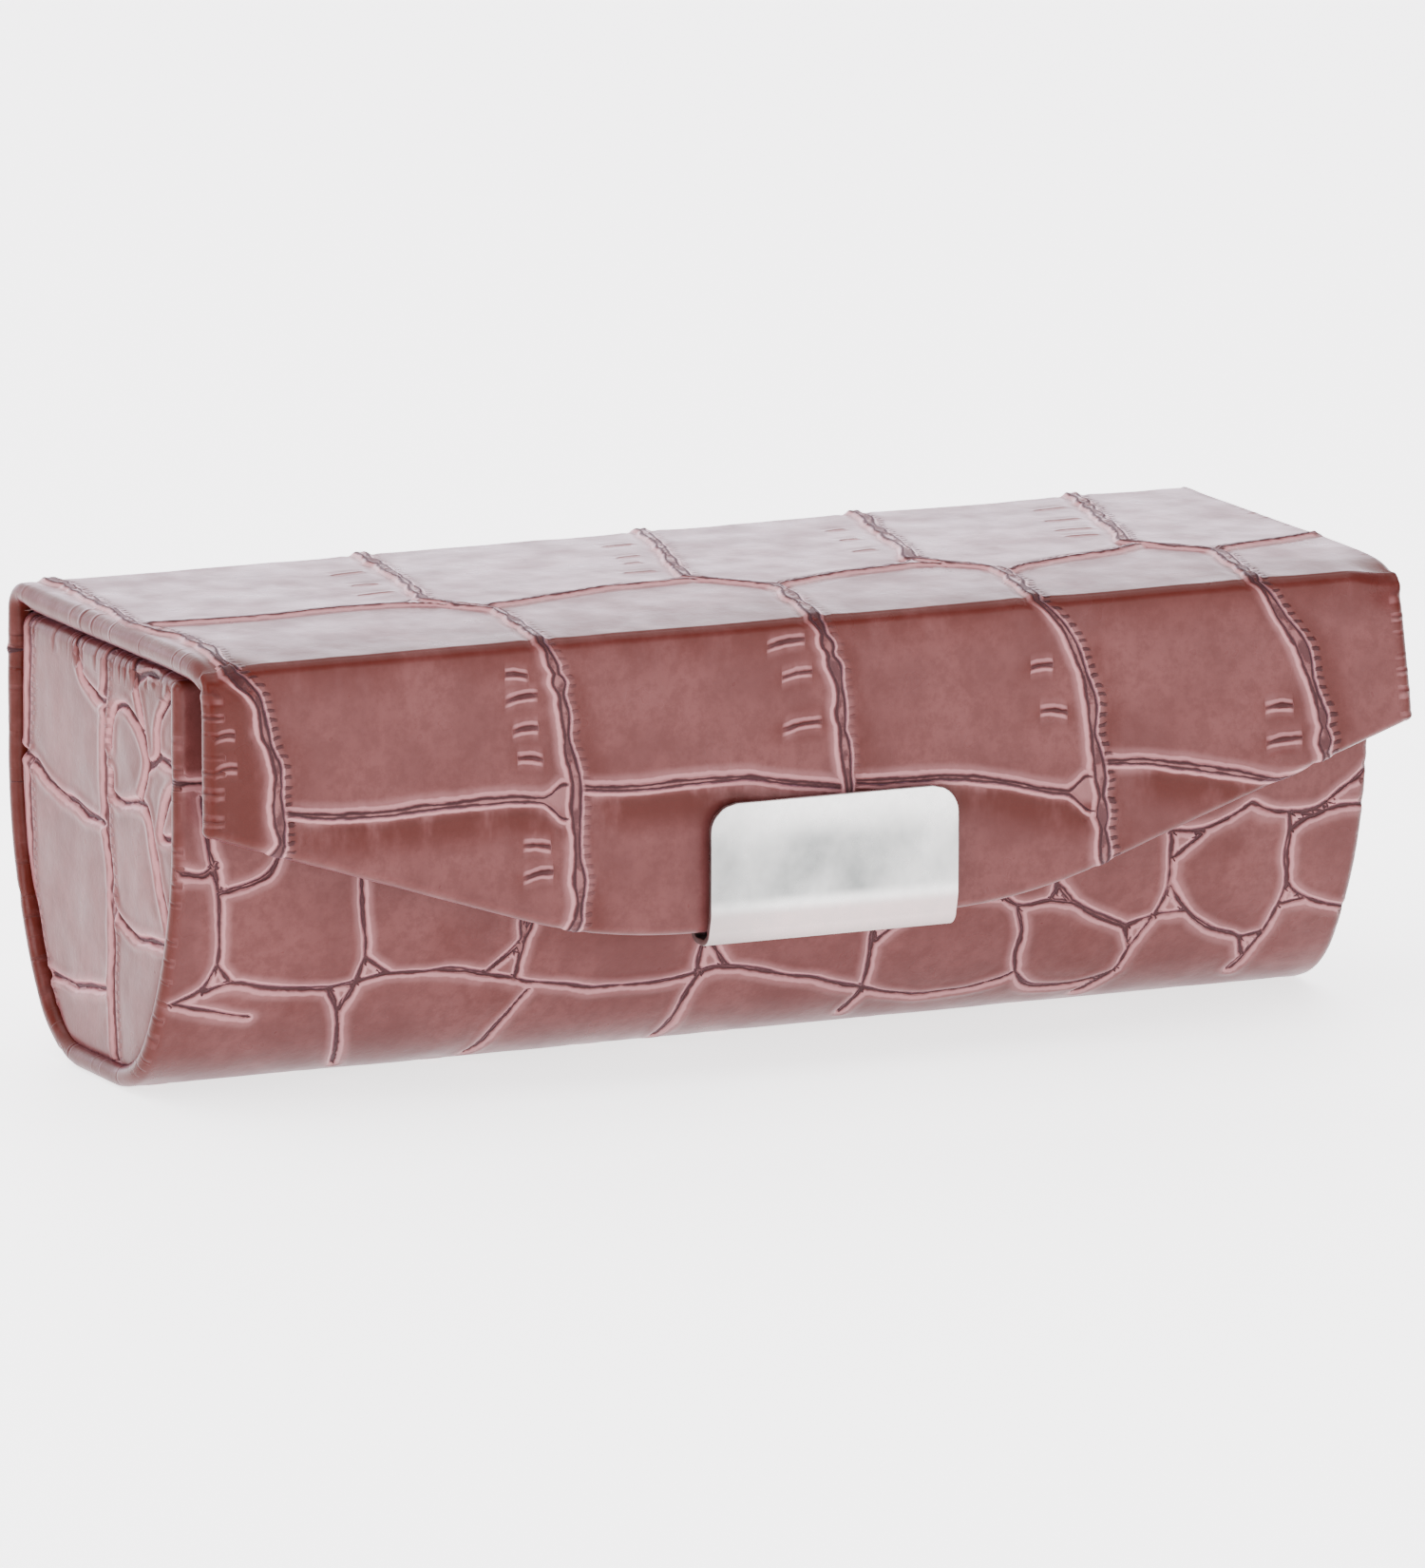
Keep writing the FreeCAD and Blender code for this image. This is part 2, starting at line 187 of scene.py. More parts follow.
def make_mesh(name, verts, quads, layers=None):
    """Object from vertices in mm, quads and optional named sets of four values per vertex."""
    mesh = bpy.data.meshes.new(name)
    mesh.vertices.add(len(verts))
    mesh.vertices.foreach_set("co", (np.asarray(verts) * MM).astype(np.float32).ravel())
    mesh.loops.add(len(quads) * 4)
    mesh.loops.foreach_set("vertex_index", np.asarray(quads, np.int32).ravel())
    mesh.polygons.add(len(quads))
    mesh.polygons.foreach_set("loop_start", np.arange(len(quads), dtype=np.int32) * 4)
    mesh.update(calc_edges=True)
    mesh.validate()
    mesh.polygons.foreach_set("use_smooth", np.ones(len(mesh.polygons), bool))
    for key, values in (layers or {}).items():
        layer = mesh.attributes.new(key, "FLOAT_COLOR", "POINT")
        layer.data.foreach_set("color", values.reshape(-1, 4).astype(np.float32).ravel())
    obj = bpy.data.objects.new(name, mesh)
    bpy.context.scene.collection.objects.link(obj)
    return obj


def grid_normals(points):
    """Unit normals of a grid of points."""
    across = np.gradient(points, axis=1)
    down = np.gradient(points, axis=0)
    n = np.cross(across, down)
    length = np.linalg.norm(n, axis=-1, keepdims=True)
    return n / np.maximum(length, 1e-9)


def roll_edge(dx, dt, radius):
    """Rolls the part of a sheet that passes an edge round a half circle and back.

    dx and dt are how far a point is past the two edges. Returns its moves along both
    directions and its depth below the face.
    """
    run = np.hypot(dx, dt)
    safe = np.maximum(run, 1e-9)
    angle = np.clip(run / radius, 0, math.pi)
    past = np.maximum(run - math.pi * radius, 0)
    out = radius * np.sin(angle) - past
    depth = radius * (1 - np.cos(angle))
    return dx / safe * out, dt / safe * out, depth


# ---- embossed relief ----------------------------------------------------------------------
# Lines across the lid and flap: x at the front crease, lean on the flap, sway on the lid,
# strength of the small notches beside the line.
COLUMNS = (
    (-43.9, 3.9, 0.35, 0.9),
    (-21.0, 3.0, 0.75, 0.5),
    (0.0, 2.7, 1.15, 0.35),
    (17.2, 5.3, 1.0, 1.0),
    (34.2, 5.2, 1.1, 1.0),
)
SWAY_AT = (0.0, 9.5, 15.0, 25.0, 35.8)
SWAY = (0.0, 1.2, -2.6, 0.0, 2.4)

# Lines along the case between two neighbouring columns: column on the left, distance from
# the crease at its left and right end, half height of the fork at the right end.
ROWS = (
    (0, -10.8, -11.9, 1.1),
    (1, -10.6, -12.2, 0.0),
    (2, -11.8, -14.3, 1.1),
    (3, -12.4, -14.7, 0.0),
    (0, 15.2, 13.8, 1.0),
    (1, 11.4, 14.4, 0.0),
    (2, 9.9, 13.8, 0.7),
    (3, 8.4, 14.0, 0.0),
    (4, 9.2, 13.5, 0.0),
)

# Short slits beside the right-hand end of each scale: column on the left, then distances.
SLITS = (
    (0, (-2.3, -4.1, -6.4, -8.5, -14.7, -16.7, 19.5, 23.0, 27.5)),
    (1, (-1.6, -4.1, -7.8, 19.0, 22.5, 25.0, 29.5)),
    (2, (-5.1, -8.4, 20.0, 24.5, 28.5)),
    (3, (-9.4, -11.8, 19.0, 21.5, 25.5, 30.0)),
)


def column_x(index, s):
    """X of one column line at distance s behind the crease; the flap is at negative s."""
    if index >= len(COLUMNS):
        return np.full(np.shape(s), HALF + 2.0)
    x0, lean, sway, _ = COLUMNS[index]
    flap = lean * (1 - np.exp(np.minimum(s, 0) / 6))
    lid = sway * np.interp(s, SWAY_AT, SWAY)
    return x0 + np.where(s < 0, flap, lid) + 0.22 * noise(s, index * 7.0, 2.6, 4)


class Lines:
    """The nearest embossed line at every grid point: side distance n, half gap, strength."""

    def __init__(self, shape):
        self.n = np.full(shape, 9.0)
        self.gap = np.full(shape, 0.1)
        self.strength = np.zeros(shape)
        self.score = np.full(shape, 9.0)
        self.near = np.full(shape, 9.0)

    def add(self, n, gap, strength=1.0, valid=True, broad=True):
        """Broad lines also pull down the cell around them."""
        strength = np.broadcast_to(strength, n.shape)
        outside = np.abs(n) - gap
        score = np.where(valid & (strength > 0.02), outside, 9.0)
        closer = score < self.score
        self.n = np.where(closer, n, self.n)
        self.gap = np.where(closer, gap, self.gap)
        self.strength = np.where(closer, strength, self.strength)
        self.score = np.where(closer, score, self.score)
        if broad:
            weak = 3.0 * (1 - strength)
            self.near = np.minimum(self.near, np.where(valid, np.maximum(outside, 0) + weak, 9.0))

    def layer(self):
        return np.stack([self.n, self.gap, np.abs(self.n), self.strength], -1)


def pleats(lines, run, strength, seed):
    """Fine wrinkles across a turned edge, unevenly spaced along it."""
    pitch = 1.6
    spaced = (run + 1.4 * noise(run, seed * 7.0, 2.9, seed)) / pitch
    n = (spaced - np.round(spaced)) * pitch
    depth = strength * ramp(noise(run, seed * 3.0, 1.9, seed + 1), -0.4, 0.5)
    lines.add(n, np.full(run.shape, 0.0), depth, np.abs(n) < 0.5, False)


def wrap_relief(u, s):
    """Embossed lines of the sheet over flap, lid and upper rear wall."""
    across, along = Lines(u.shape), Lines(u.shape)
    teeth, stain = np.zeros(u.shape), np.zeros(u.shape)
    for k, column in enumerate(COLUMNS):
        n = u - column_x(k, s)
        phase = (s + 1.7 * k) / 4.1 + 0.9 * noise(s, k * 5.0, 4.6, 8)
        wave = np.abs(np.sin(math.pi * phase)) ** 1.3
        gap = 0.13 + 0.3 * wave * (0.65 + 0.5 * noise(s, k * 9.0, 3.0, 14))
        across.add(n, gap)
        teeth = np.where(np.abs(n) < 3.0, column[3], teeth)
        stain = np.maximum(stain, 0.55 * bump(n - 1.3, 1.2) * (s < 0))
    for left, s_left, s_right, fork in ROWS:
        x_left, x_right = column_x(left, s), column_x(left + 1, s)
        share = np.clip((u - x_left) / (x_right - x_left), 0, 1)
        bow = 0.35 * np.sin(2 * math.pi * share + left)
        n = s - (s_left + (s_right - s_left) * share) + bow + 0.12 * noise(u, s_left, 2.5, 6)
        inside = ramp(u, x_left + 0.3, x_left + 0.8) * ramp(u, x_right - 0.3, x_right - 0.7)
        gap = 0.13 + 0.07 * noise(u, s_left, 4.0, 7) + fork * ramp(u, x_right - 2.6, x_right - 0.8)
        along.add(n, gap, inside, (u > x_left) & (u < x_right))
        if s_left < 0:
            below = ramp(-n, 0.2, 0.8) * (1 - ramp(-n, 1.6, 4.0))
            stain = np.maximum(stain, 0.85 * below * inside)
    for left, places in SLITS:
        for s0 in places:
            strength = 0.72 if s0 < 0 else 0.4
            middle = float(column_x(left + 1, np.array(s0))) - 2.9
            reach = (u - middle) / (1.1 + 0.35 * math.sin(3 * s0))
            n = s - s0 + 0.13 * (u - middle) * math.sin(5 * s0) + 0.14 * reach**2
            body = np.clip(1.3 - reach**4, 0, 1)
            along.add(n, np.full(u.shape, 0.03), strength * body, np.abs(reach) < 1.15, False)
            if s0 < 0:
                stain = np.maximum(stain, 0.8 * bump(n, 0.9) * bump(reach, 1.5))
    for s0, middle, half in ((-5.2, -44.7, 0.8), (-7.6, -44.6, 0.9)):
        reach = (u - middle) / half
        n = s - s0 - 0.12 * (u + HALF) + 0.2 * reach**2
        body = np.clip(1.3 - reach**4, 0, 1)
        along.add(n, np.full(u.shape, 0.03), 0.5 * body, np.abs(reach) < 1.15, False)
    strip = 0.8 * ramp(u, -41.0, -42.6) * (s < -0.3)
    stain = np.maximum(stain, strip)
    stain = np.maximum(stain, 0.55 * ramp(-s, -1.4, 0.0) * ramp(s, -4.5, -0.4))
    stain = np.maximum(stain, 0.8 * ramp(-s, -9.0, -1.5) * (s >= 0))
    wave = 0.25 * noise(u, 3.0, 9.0, 27)
    along.add(s - LAST_ROW + wave, np.full(u.shape, 0.1), 1.0, s > LAST_ROW - 4)
    across.strength = np.where(s > LAST_ROW - wave, 0.0, across.strength)
    pleats(along, s, 0.4 * ramp(np.abs(u), HALF - 1.5, HALF - 0.8), 3)
    return across, along, teeth, stain


def line_relief(lines, u, v, seed, beads=()):
    """Embossed cells drawn by free lines; beads are lines with small notches."""
    a = u + 0.2 * noise(u, v, 2.2, seed)
    b = v + 0.2 * noise(u, v, 2.2, seed + 1)
    across, along = Lines(u.shape), Lines(u.shape)
    n = line_distance(lines, a, b)
    split = 0.05 + 0.1 * noise(u, v, 3.4, seed + 2)
    along.add(n, np.maximum(split, 0.0), 0.95)
    if beads:
        n = line_distance(beads, a, b)
        across.add(n, np.full(u.shape, 0.16) + 0.1 * noise(u, v, 2.0, seed + 3), 0.8)
    stain = 0.35 * ramp(noise(u, v, 5.0, seed + 4), 0.1, 0.7)
    return across, along, np.full(u.shape, 0.6), stain


def emboss(u, v, relief, seed):
    """Broad height in mm, and the values from which the material draws its fine lines."""
    across, along, teeth, stain = relief
    near = np.minimum(across.near, along.near)
    height = 0.2 * (1 - np.exp(-near / 1.0)) - 0.12
    for lines in (across, along):
        edge = np.abs(lines.n) - lines.gap
        height -= 0.13 * lines.strength * bump(edge, 0.26)
        height += 0.1 * lines.strength * bump(edge - 0.58, 0.32)
    height += 0.04 * noise(u, v, 7.0, seed) + 0.02 * noise(u, v, 1.9, seed + 1)
    marks = np.stack([v, teeth, np.clip(stain, 0, 1), np.zeros(u.shape)], -1)
    return height, {"across": across.layer(), "along": along.layer(), "marks": marks}


# ---- trough -------------------------------------------------------------------------------
def trough_path(t):
    """Point (y, z) and outward normal on the trough, t mm from its front mouth edge."""
    t = np.asarray(t, float)
    side = np.where(t < HALF_RUN, -1.0, 1.0)
    m = np.minimum(t, 2 * HALF_RUN - t)
    big = np.clip((m - WALL_RUN) / R_LARGE, 0, TURN)
    small = np.clip((m - WALL_RUN - ARC_RUN) / R_SMALL, 0, math.pi / 2 - TURN)
    flat = np.clip(m - WALL_RUN - ARC_RUN - ROUND_RUN, 0, None)
    on_small = m > WALL_RUN + ARC_RUN
    y = HINGE_Y - R_LARGE + R_LARGE * np.cos(big)
    z = np.where(m < WALL_RUN, MOUTH - m, WALL_Z - R_LARGE * np.sin(big))
    y = np.where(on_small, REST_HALF + R_SMALL * np.cos(TURN + small) - flat, y)
    z = np.where(on_small, R_SMALL - R_SMALL * np.sin(TURN + small), z)
    angle = big + small
    return side * y, z, side * np.cos(angle), -np.sin(angle)


def run_at(z):
    """Distance from the front mouth edge down the wall to height z."""
    table_t = np.linspace(0, HALF_RUN - REST_HALF, 400)
    table_z = trough_path(table_t)[1]
    return np.interp(-np.asarray(z, float), -table_z, table_t)


# Cell outlines on the front of the trough, (x, z).
FRONT_LINES = (
    ((-44.2, 22.4), (-43.6, 18.5), (-42.8, 16.0), (-42.3, 13.0), (-42.2, 10.2)),
    ((-42.2, 10.2), (-42.8, 8.2), (-45.0, 7.4)),
    ((-42.2, 10.2), (-40.9, 8.7)),
    ((-42.9, 8.1), (-40.9, 8.7), (-38.7, 8.0), (-33.2, 7.4)),
    ((-33.2, 7.4), (-31.2, 7.8), (-29.0, 8.3), (-23.5, 8.0), (-19.0, 6.7), (-12.6, 5.6)),
    ((-12.6, 5.6), (-8.0, 5.3), (-4.7, 5.9), (-2.6, 6.4), (0.5, 5.5), (4.8, 4.5)),
    ((4.8, 4.5), (8.9, 3.3), (14.3, 2.1), (17.6, 2.4), (20.6, 3.5)),
    ((-32.2, 22.4), (-31.9, 15.8), (-31.3, 12.0), (-30.9, 9.7)),
    ((-30.9, 9.7), (-31.3, 7.7), (-32.0, 5.6)),
    ((-30.9, 9.7), (-29.0, 8.3)),
    ((-33.2, 7.4), (-32.0, 5.6), (-30.8, 1.0)),
    ((-16.8, 22.6), (-17.2, 15.0), (-18.2, 11.6), (-18.9, 9.6), (-21.3, 7.6)),
    ((-17.3, 15.6), (-19.0, 13.6), (-19.2, 11.7), (-18.8, 10.4), (-19.0, 6.7)),
    ((-3.6, 22.4), (-4.4, 14.0), (-4.9, 8.7), (-4.7, 6.0)),
    ((-4.4, 8.6), (-2.6, 6.4)),
    ((-17.8, 5.8), (-19.3, 3.5), (-20.5, 0.8)),
    ((-4.6, 5.9), (-5.6, 4.0), (-5.7, 0.6)),
    ((-45.0, 7.4), (-42.0, 6.5), (-39.2, 5.9)),
    ((-37.6, 22.5), (-37.4, 19.6), (-38.0, 17.8), (-38.7, 16.7), (-40.0, 15.9), (-42.5, 15.3)),
    ((-45.4, 17.0), (-43.8, 16.5), (-43.1, 17.5)),
    ((9.8, 22.4), (8.8, 14.0), (8.2, 8.5), (8.6, 6.5), (8.8, 3.6), (8.2, 1.4)),
    ((18.1, 9.7), (14.0, 10.2), (10.4, 8.7), (8.7, 7.3)),
    ((18.1, 9.7), (19.7, 8.9), (21.9, 9.3), (23.5, 8.7)),
    ((19.6, 9.0), (20.2, 6.8), (20.6, 3.5)),
    ((20.6, 3.5), (21.8, 2.2), (24.2, 1.9), (26.9, 1.8), (28.7, 3.0)),
    ((21.6, 22.5), (21.9, 15.0), (22.4, 10.4), (21.9, 9.3)),
    ((22.4, 10.4), (23.5, 8.8)),
    ((23.5, 8.8), (25.8, 7.5), (28.4, 6.3)),
    ((28.4, 6.3), (29.1, 4.7)),
    ((28.4, 6.3), (30.0, 6.9), (30.8, 7.1)),
    (
        *((29.6, 22.5), (30.3, 17.0), (30.6, 13.5), (31.4, 9.5)),
        *((30.9, 7.3), (29.1, 4.7), (28.7, 3.0), (26.9, 1.0)),
    ),
    ((31.4, 9.5), (32.8, 7.1), (35.5, 5.5), (37.9, 4.5)),
    ((30.9, 7.2), (32.8, 7.1)),
    ((39.9, 14.1), (40.1, 12.7), (40.6, 9.0), (40.5, 7.0), (39.4, 4.6), (38.4, 2.0)),
    ((37.9, 4.5), (39.6, 5.1)),
    ((37.9, 4.5), (38.7, 3.2)),
    ((40.7, 8.7), (42.4, 7.3), (46.5, 6.2)),
    ((40.5, 7.1), (42.4, 7.3)),
    ((30.6, 13.5), (32.7, 13.6), (34.7, 14.0), (36.9, 15.1)),
    ((31.2, 11.6), (33.3, 13.5)),
    ((36.9, 15.1), (38.1, 14.5), (39.9, 14.1), (42.4, 14.5), (44.3, 15.7), (46.5, 17.8)),
    ((40.1, 12.7), (41.6, 14.1), (46.5, 14.5)),
)


def generated_cells():
    """Cell outlines for the parts of the trough that face down and back, (x, t)."""
    rng = np.random.RandomState(21)
    lines = []
    bands = [HALF_RUN - 4.0, HALF_RUN + 6.5, HALF_RUN + 19.0, HALF_RUN + 31.0]
    xs = np.linspace(-46, 46, 13)
    edges = []
    for k, t in enumerate(bands):
        edges.append(t + rng.uniform(-0.9, 0.9, len(xs)))
        if k:
            lines.append(list(zip(xs, edges[-1])))
    pitch = (11.0, 14.5, 17.5, 19.0)
    for k in range(len(bands)):
        low = edges[k]
        high = edges[k + 1] if k + 1 < len(bands) else edges[k] + 14.0
        x = -43.5 + 5.0 * (k % 2)
        while x < 45:
            a, b = np.interp(x, xs, low), np.interp(x + 1.0, xs, high)
            shift = rng.uniform(-1.4, 1.4)
            lines.append([(x, a), (x + shift, (a + b) / 2), (x + rng.uniform(-0.8, 1.2), b)])
            x += pitch[k] * rng.uniform(0.85, 1.15)
    return lines


def under_flap_cells():
    """Cell outlines on the front wall behind the flap, (x, t)."""
    upper = run_at(22.5)
    lines = [[(-46.5, upper - 1), (-20, upper + 0.4), (5, upper - 0.6), (46.5, upper + 1)]]
    for x in (-37.0, -21.5, -6.0, 10.5, 26.0, 41.0):
        lines.append([(x, -3.0), (x + 0.7, 4.0), (x + 0.2, upper)])
    return lines


def trough_leather():
    """Embossed cover of the trough, turned round its rims and its front edge."""
    turn_in = 1.3
    rim = math.pi * RIM + turn_in
    flat = HALF - RIM
    u = join_steps(
        steps(-flat - rim, -flat, 0.22), steps(-flat, flat, 0.27), steps(flat, flat + rim, 0.22)
    )
    seam = 2 * HALF_RUN - (MOUTH - SEAM_Z)
    t = join_steps(
        steps(RIM - rim, RIM, 0.22),
        steps(RIM, run_at(20.0), 0.34),
        steps(run_at(20.0), HALF_RUN - REST_HALF, 0.24),
        steps(HALF_RUN - REST_HALF, HALF_RUN + 8, 0.5),
        steps(HALF_RUN + 8, seam - 1, 0.5),
        steps(seam - 1, seam + 1.5, 0.2),
    )
    uu, tt = np.meshgrid(u, t)
    x_in, t_in = np.clip(uu, -flat, flat), np.maximum(tt, RIM)
    dx, dt, depth = roll_edge(uu - x_in, tt - t_in, RIM)
    y, z, ny, nz = trough_path(t_in + dt)
    depth = depth + 0.1 * ramp(tt, seam - 0.1, seam + 0.2)
    points = np.stack([x_in + dx, y - ny * depth, z - nz * depth], -1)
    lines = [[(x, run_at(z)) for x, z in line] for line in FRONT_LINES]
    lines += generated_cells() + under_flap_cells()
    relief = line_relief(lines, uu, tt, 31)
    pleats(relief[1], tt, 0.22 * ramp(np.abs(uu), flat, flat + 0.6), 5)
    height, layers = emboss(uu, tt, relief, 41)
    past = np.hypot(uu - x_in, tt - t_in)
    fade = (1 - 0.65 * ramp(past, 0, 0.5)) * (1 - 0.8 * ramp(-z, -0.5, 0.0))
    fade *= 1 - ramp(tt, seam - 1.5, seam - 0.2)
    points += -grid_normals(points) * (height * fade)[..., None]
    layers["marks"][..., 3] = ramp(past, 0.0, 0.8)
    faces = grid_faces(*uu.shape, flip=True)
    return make_mesh("trough_leather", points.reshape(-1, 3), faces, layers)


# ---- lid leather --------------------------------------------------------------------------
def lid_path(s):
    """Point (y, z) and normal of the lid's sheet, s mm behind the front crease."""
    flat_end = HINGE_Y - FRONT_Y - HINGE_R
    arc = np.clip((s - flat_end) / HINGE_R, 0, math.pi / 2)
    down = np.maximum(s - flat_end - HINGE_R * math.pi / 2, 0)
    y = np.where(s < flat_end, FRONT_Y + s, HINGE_Y - HINGE_R + HINGE_R * np.sin(arc))
    z = TOP - HINGE_R + HINGE_R * np.cos(arc) - down
    return y, z, np.sin(arc), np.cos(arc)


def front_drop(s):
    """How far the sheet sinks towards the front crease, s mm behind it."""
    top = (1 - np.clip(s, 0, 10) / 10) ** 2
    return 0.35 * np.where(s > 0, top, 1 - ramp(-s, 0.0, 6.0))


def soften_corner(points, x, s):
    """Rounds the front crease off towards the two ends of the sheet."""
    move = 0.62 * ramp(np.abs(x), HALF - 5.0, HALF - 0.5) * bump(s, 2.3)
    points[..., 1] += move
    points[..., 2] -= move


def worn_edges(x, s):
    """Wear along the front crease and at the two ends of the sheet."""
    ends = 0.9 * ramp(np.abs(x), HALF - 1.3, HALF - 0.3)
    return np.maximum(0.8 * bump(s + 0.1, 0.95), ends)


def lid_leather():
    """Embossed cover of the lid, carried over the rear fold onto the top of the rear wall."""
    flat_end = HINGE_Y - FRONT_Y - HINGE_R
    s_end = flat_end + HINGE_R * math.pi / 2 + (TOP - HINGE_R - SEAM_Z)
    s = join_steps(
        steps(0.45, 1.5, 0.12),
        steps(1.5, flat_end - 0.5, 0.26),
        steps(flat_end - 0.5, flat_end + 3.0, 0.16),
        steps(flat_end + 3.0, s_end - 0.6, 0.3),
        steps(s_end - 0.6, s_end, 0.12),
    )
    turn_in = 1.6
    edge = steps(0, 1, 0.045)
    base = steps(-1, 1, 0.24 / HALF)
    thin = 0.55 + 0.35 * ramp(s, 0.5, 1.6)
    radius = thin - (SLAB - RIM) * ramp(s, flat_end - 2.5, flat_end)
    flat = HALF - radius
    rolled = math.pi * radius + turn_in * np.where(s < flat_end, 1.0, 0.4)
    left = -flat[:, None] - rolled[:, None] * edge[::-1][None, :-1]
    middle = flat[:, None] * base[None, :]
    right = flat[:, None] + rolled[:, None] * edge[None, 1:]
    uu = np.hstack([left, middle, right])
    ss = np.repeat(s[:, None], uu.shape[1], 1)
    x_in = np.clip(uu, -flat[:, None], flat[:, None])
    dx, _, depth = roll_edge(uu - x_in, 0 * uu, np.repeat(radius[:, None], uu.shape[1], 1))
    y, z, ny, nz = lid_path(ss)
    depth = depth + 0.16 * (1 - ramp(ss, 0.45, 0.62))
    points = np.stack([x_in + dx, y - ny * depth, z - nz * depth], -1)
    height, layers = emboss(uu, ss, wrap_relief(uu, ss), 51)
    fade = np.where(np.abs(uu) > flat[:, None], 0.4, 1.0)
    fade = fade * (1 - ramp(ss, s_end - 0.5, s_end - 0.1))
    sag = -0.15 * np.cos(uu / HALF * math.pi / 2) * np.sin(ss / flat_end * math.pi)
    height = height * fade + np.where((ss < flat_end) & (np.abs(uu) <= flat[:, None]), sag, 0)
    points += -grid_normals(points) * height[..., None]
    points[..., 2] -= front_drop(ss)
    soften_corner(points, uu, ss)
    layers["marks"][..., 3] = worn_edges(uu, ss)
    faces = grid_faces(*uu.shape)
    return make_mesh("lid_leather", points.reshape(-1, 3), faces[:, ::-1], layers)


# ---- flap leather -------------------------------------------------------------------------
FLAP_END_Z = TOP - 12.2
FLAP_SLOPE = 0.33
KNEE = 43.0


def flap_edge(x):
    """Lowest Z of the flap at x."""
    bend = HALF - (FLAP_END_Z - FLAP_LOW) / FLAP_SLOPE
    tangent = KNEE * math.tan(math.atan(FLAP_SLOPE) / 2)
    a = np.abs(x)
    start = bend - tangent
    stop = bend + tangent * math.cos(math.atan(FLAP_SLOPE))
    curve = KNEE - np.sqrt(np.maximum(KNEE**2 - (a - start) ** 2, 1.0))
    z = np.where(a < start, 0.0, np.where(a < stop, curve, FLAP_SLOPE * (a - bend)))
    warp = 0.9 * ramp(x, 12.0, HALF)
    return FLAP_LOW + z + warp


